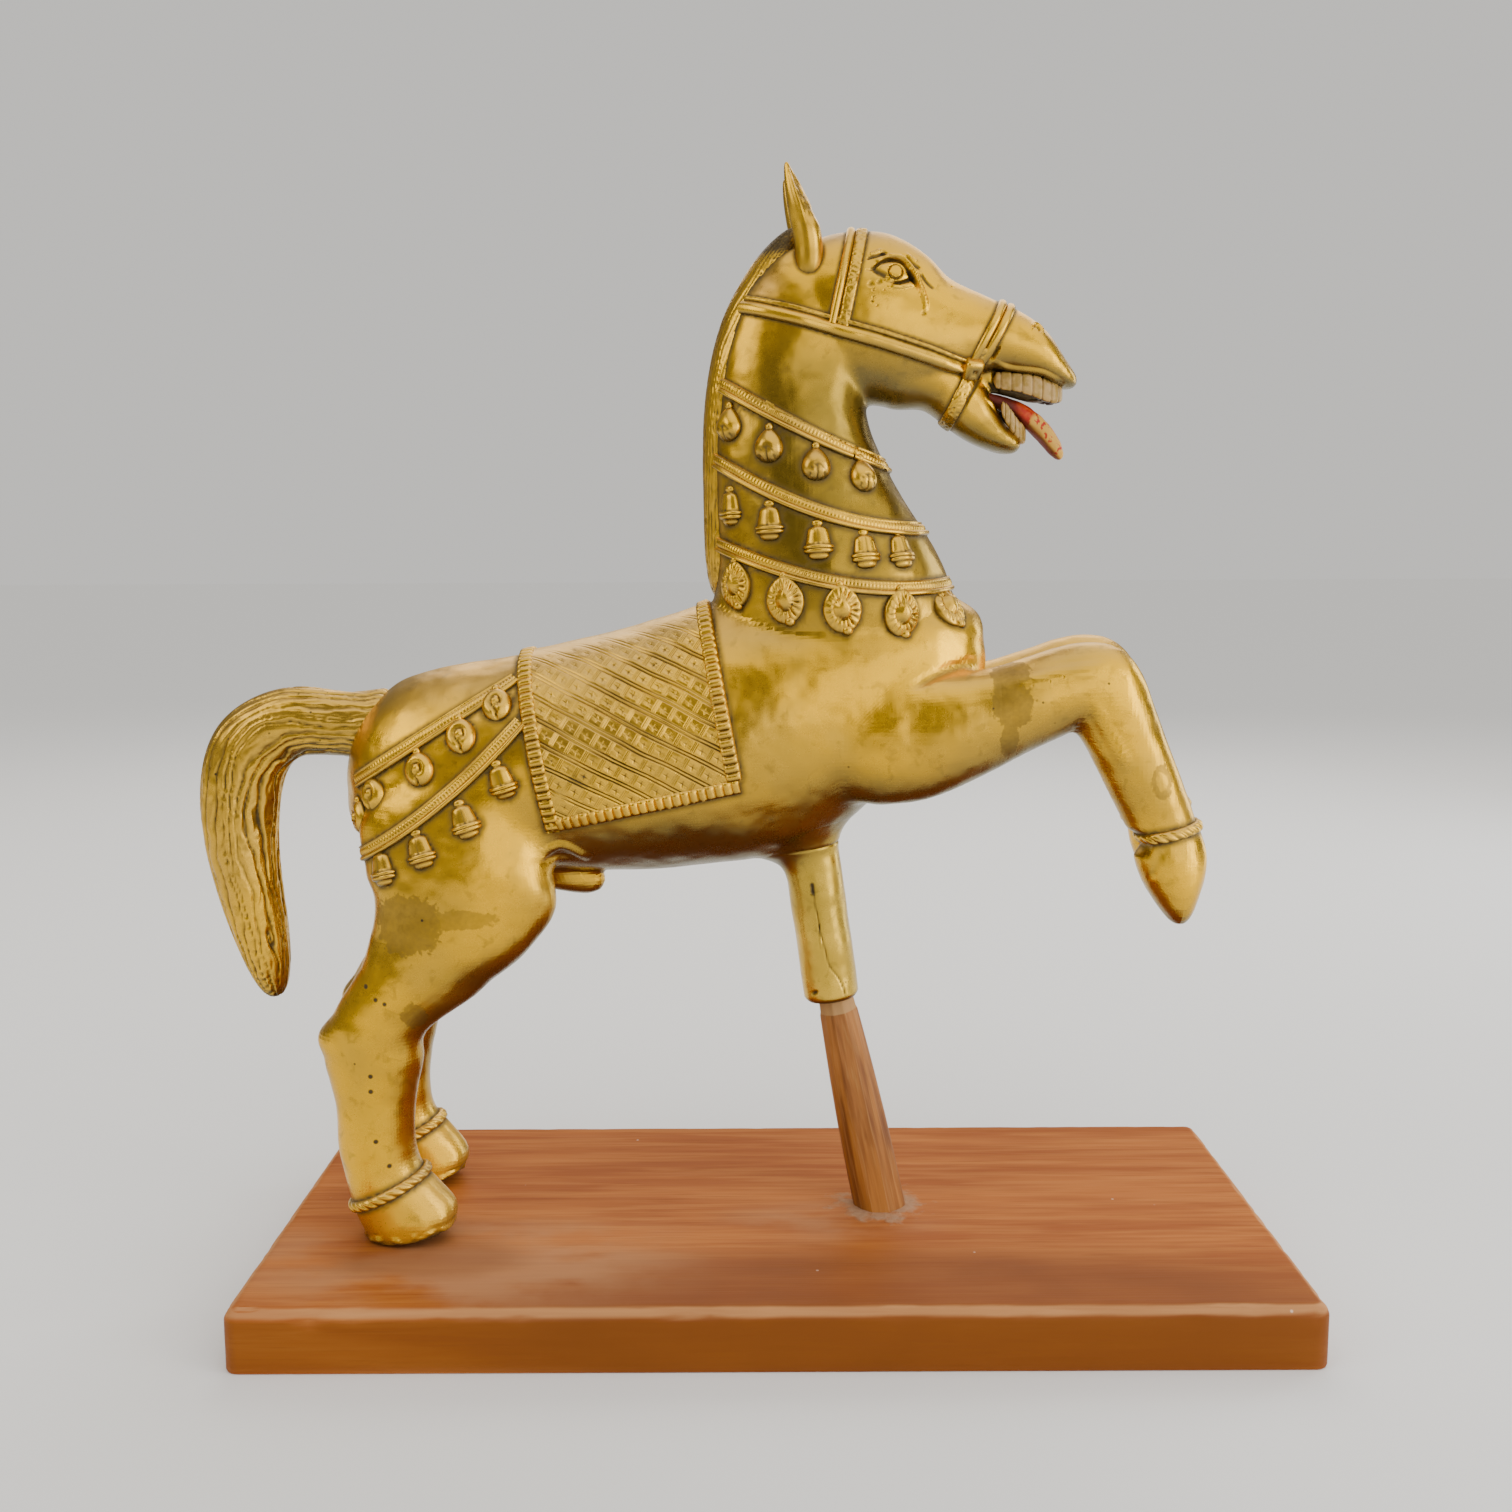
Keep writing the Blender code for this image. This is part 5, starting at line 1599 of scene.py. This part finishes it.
soil(post, ridge, "ridge")
soil(post, pared, "bare")
shade(post, 14)
post_wood = Finish("whittled_wood", Specular_IOR_Level=0.35)
fibre = post_wood.cloud(1.1, detail=3, stretch=(1, 1, 26), turned=-POST_TILT)
streaks = post_wood.cloud(5.5, detail=3, stretch=(1, 1, 16), turned=-POST_TILT, seed=3.0)
stains = post_wood.cloud(14, detail=3, stretch=(1, 1, 2.5), turned=-POST_TILT, seed=6.0)
colour = post_wood.tint(streaks.rise(0.32, 0.68), POST_DARK, POST_LIGHT)
colour = post_wood.tint(stains.rise(0.5, 0.75) * 0.6, colour, POST_STAIN)
colour = post_wood.tint(fibre.rise(0.5, 0.72) * 0.35, colour, PALE_FIBRE)
colour = post_wood.tint(post_wood.mark("ridge").rise(0.2, 1.0) * 0.3, colour, PALE_RIDGE)
bare = post_wood.mark("bare").rise(0.3, 0.7)
colour = post_wood.tint(bare * 0.7, colour, BARE_WOOD)
post_wood.feed(Base_Color=colour, Roughness=0.42 + 0.25 * fibre + 0.15 * bare,
               Normal=post_wood.relief(fibre, 0.12, post_wood.relief(streaks, 0.3)))
belongs(post, post_wood, "post")

# ---- Board ----------------------------------------------------------------------------------
# The stand is one thick plank of reddish hardwood, varnished long ago. Its upper edge is
# rounded over, worn pale and lit by a painted highlight, and dust and a smear of glue sit
# round the post.

BOARD_LENGTH = 564
BOARD_DEPTH = 249
BOARD_MIDDLE = (-2, -3)
BOARD_CORNER = 7.5
BOARD_EDGE = 7
BOARD_STEP = 6
PLANK_DARK, PLANK_LIGHT = (0.33, 0.084, 0.013), (0.47, 0.143, 0.024)
PALE_STREAK, DARK_GRAIN = (0.62, 0.23, 0.045), (0.14, 0.036, 0.010)
FRONT_BROWN, SIDE_BROWN = (0.21, 0.060, 0.012), (0.20, 0.058, 0.005)
DUST, HOOF_SHADOW = (0.50, 0.25, 0.12), (0.15, 0.05, 0.018)
RUBBED_EDGE_AND_HIGHLIGHT, GLUE, PALE_CHIP = (0.58, 0.28, 0.11), (0.40, 0.29, 0.19), (0.72, 0.52, 0.38)

board = blank("reddish_board", "cube", size=1,
              location=Vector((*BOARD_MIDDLE, BOARD_TOP / 2)) * MM)
with opened(board):
    bpy.ops.transform.resize(value=Vector((BOARD_LENGTH, BOARD_DEPTH, BOARD_TOP)) * MM)
bpy.ops.object.transform_apply(location=True, rotation=False, scale=False)
for keep, width, segments in (
    (lambda a, b: abs(a.z - b.z) > 0.01, BOARD_CORNER, 4),
    (lambda a, b: min(a.z, b.z) > (BOARD_TOP - 1) * MM, BOARD_EDGE, 8),
    (lambda a, b: max(a.z, b.z) < MM, 1.2, 2),
):
    with opened(board):
        bpy.ops.mesh.select_mode(type="EDGE")
        bpy.ops.mesh.select_all(action="DESELECT")
        mesh = bmesh.from_edit_mesh(board.data)
        for edge in mesh.edges:
            sharp = edge.calc_face_angle(0) > 0.3
            edge.select_set(sharp and keep(edge.verts[0].co, edge.verts[1].co))
        bmesh.update_edit_mesh(board.data)
        bpy.ops.mesh.bevel(offset=width * MM, segments=segments)
cuts_along, cuts_across = [middle + np.arange(8.5 - size / 2, size / 2 - 8, BOARD_STEP)
                           for middle, size in zip(BOARD_MIDDLE, (BOARD_LENGTH, BOARD_DEPTH))]
with opened(board):
    for cuts, direction in ((cuts_along, (1, 0, 0)), (cuts_across, (0, 1, 0)),
                            ((8, 14, 20), (0, 0, 1))):
        for cut in cuts:
            bpy.ops.mesh.select_all(action="SELECT")
            bpy.ops.mesh.bisect(plane_co=Vector(direction) * cut * MM, plane_no=direction)
points, normals = corners_of(board)
rough = lumps(points, 0.05)
knocks = lumps(points, 0.13, (9, 2, 5))
rounding = np.clip((points[:, 2] - 26) / 2, 0, 1) * np.clip((33.9 - points[:, 2]) / 0.5, 0, 1)
points -= normals * (0.2 * np.abs(rough) * (points[:, 2] > 2))[:, None]
points -= normals * (rounding * np.clip(knocks - 0.15, 0, 1) * 2.2)[:, None]
set_corners(board, points)
shade(board, 35)

board_wood = Finish("reddish_board", Specular_IOR_Level=0.12)
grain = board_wood.cloud(1.5, detail=4, stretch=(26, 1, 1), distortion=0.2)
bands = board_wood.cloud(20, detail=3, stretch=(9, 1, 1.2), seed=4.0, distortion=0.3)
streaks = board_wood.cloud(5, detail=4, stretch=(18, 1, 1), seed=7.0, distortion=0.4)
blotches = board_wood.cloud(45, detail=4, stretch=(1.5, 1, 1), seed=1.0)
colour = board_wood.tint(bands.rise(0.34, 0.66), PLANK_DARK, PLANK_LIGHT)
colour = board_wood.tint(streaks.rise(0.42, 0.66) * 0.35, colour, PALE_STREAK)
colour = board_wood.tint(grain.rise(0.5, 0.8) * 0.4, colour, DARK_GRAIN)
side = 1 - abs(board_wood.towards((0, 0, 1))).rise(0.05, 0.4)
front = board_wood.near((70, -BOARD_DEPTH / 2, BOARD_TOP), 85, (3.8, 1, 1)).rise(0.0, 0.5)
colour = board_wood.tint(front * (0.5 + 0.7 * blotches), colour, FRONT_BROWN)
# Painted shade: the board's upright faces are darkened.
colour = board_wood.tint(side * 0.65, colour, SIDE_BROWN)
dusty = board_wood.near((-175, -70, BOARD_TOP), 170, (1, 0.45, 1)).rise(0.0, 0.6)
dusty = dusty + board_wood.near((30, -25, BOARD_TOP), 70, (1.2, 0.5, 1)).rise(0.0, 0.8)
dusty = dusty * (1 - side) * blotches.rise(0.35, 0.62)
colour = board_wood.tint(dusty * 0.6, colour, DUST)
shadow = board_wood.near((-196, -64, BOARD_TOP), 66, (1.2, 0.6, 1))
shadow = (shadow + (blotches - 0.5) * 0.7).rise(0.12, 0.6) * (1 - side)
colour = board_wood.tint(shadow * 0.45, colour, HOOF_SHADOW)
# The rounded edge is worn pale, and a painted highlight lightens it as well.
rim = board_wood.towards((0, 0, 1))
rim = rim.rise(0.25, 0.6) * (1 - rim.rise(0.86, 0.985))
scuffed_and_lit = rim * (0.35 + 0.9 * streaks)
colour = board_wood.tint(scuffed_and_lit * 0.9, colour, RUBBED_EDGE_AND_HIGHLIGHT)
glue_edge = board_wood.near((POST_FOOT_X, -2, BOARD_TOP), 34, (1, 0.95, 0.4))
glue_edge = glue_edge + (board_wood.cloud(9, detail=4, seed=5.0) - 0.5) * 1.3
glued = glue_edge.rise(0.12, 0.55)
colour = board_wood.tint(glued * 0.6, colour, GLUE)
chips = board_wood.specks(21, 0.02, 0.05) * blotches.rise(0.48, 0.6)
colour = board_wood.tint(chips, colour, PALE_CHIP)
board_wood.feed(
    Base_Color=colour,
    Roughness=0.42 + 0.16 * grain + 0.25 * dusty + 0.2 * scuffed_and_lit + 0.3 * glued,
    Normal=board_wood.relief(grain, 0.10, board_wood.relief(
        board_wood.cloud(35, detail=2, stretch=(4, 1, 1)), 0.5,
        board_wood.relief(glued * (0.4 + board_wood.cloud(3, detail=3)), 0.8))))
belongs(board, board_wood, "board")

# ---- Studio ---------------------------------------------------------------------------------
# A pale floor under one very broad overhead light, with soft boxes all round the horse. The
# backdrop fades into the floor, and the camera is level with the horse's neck.

FLOOR_PALE = 0.88
OVERHEAD = 1.8
AROUND = 0.25

floor = blank("studio_floor", "plane", size=40)
pale = Finish("pale_floor", Roughness=0.8, Specular_IOR_Level=0.0,
              Base_Color=(FLOOR_PALE, FLOOR_PALE, FLOOR_PALE * 0.985, 1))
floor.data.materials.append(pale.material)

for name, kind, place, aim, size, watts, tone in (
    ("overhead", "SUN", (0.5, -0.5, 2.0), (0, 0, 0), 84, OVERHEAD, (1.0, 0.98, 0.95)),
    ("front", "AREA", (1.0, -2.1, 0.78), (0.02, 0, 0.32), (1.8, 1.4), 13, (1.0, 0.98, 0.94)),
    ("right", "AREA", (1.8, -0.9, 0.7), (0.08, 0, 0.34), (0.9, 1.4), 17, (1.0, 0.98, 0.95)),
    ("left", "AREA", (-1.6, -0.8, 1.4), (-0.05, 0, 0.34), (1.2, 1.2), 11, (1.0, 0.97, 0.93)),
    ("window", "AREA", (1.7, 0.9, 0.6), (0.1, 0, 0.34), (0.6, 1.3), 10, (0.88, 0.94, 1.0)),
    ("behind", "AREA", (0.2, 1.7, 1.8), (0, 0, 0.35), (2.4, 1.5), 29, (1.0, 0.94, 0.89)),
):
    lamp = bpy.data.lights.new(name, kind)
    if kind == "SUN":
        lamp.angle = math.radians(size)
    else:
        lamp.shape = "RECTANGLE"
        lamp.size, lamp.size_y = size
    lamp.energy, lamp.color = watts, tone
    held = bpy.data.objects.new(name, lamp)
    bpy.context.scene.collection.objects.link(held)
    held.location = place
    held.rotation_euler = (Vector(aim) - Vector(place)).to_track_quat("-Z", "Y").to_euler()
    held.visible_camera = False

world = bpy.data.worlds.new("studio")
bpy.context.scene.world = world
world.use_nodes = True
sky = world.node_tree.nodes
seen = sky.new("ShaderNodeLightPath")
backdrop = sky.new("ShaderNodeMix")
backdrop.data_type = "RGBA"
far_floor = FLOOR_PALE * (OVERHEAD / math.pi + AROUND)
backdrop.inputs[6].default_value = (AROUND, AROUND * 0.97, AROUND * 0.92, 1)
backdrop.inputs[7].default_value = (far_floor, far_floor * 0.98, far_floor * 0.94, 1)
world.node_tree.links.new(seen.outputs["Is Camera Ray"], backdrop.inputs[0])
world.node_tree.links.new(backdrop.outputs[2], sky["Background"].inputs["Color"])

CAMERA_PLACE = (-0.0112, -0.8479, 0.4138)
CAMERA_LENS = 36.05
CAMERA_DOWN = 7.7
CAMERA_ROLL = -0.25

camera = bpy.data.objects.new("camera", bpy.data.cameras.new("camera"))
bpy.context.scene.collection.objects.link(camera)
bpy.context.scene.camera = camera
camera.data.lens = CAMERA_LENS
camera.data.sensor_width = 36
camera.location = CAMERA_PLACE
tipped = Matrix.Rotation(math.radians(90 - CAMERA_DOWN), 3, "X")
rolled = Matrix.Rotation(math.radians(CAMERA_ROLL), 3, "Z")
camera.rotation_euler = (tipped @ rolled).to_euler()
camera.data.clip_start, camera.data.clip_end = 0.01, 100
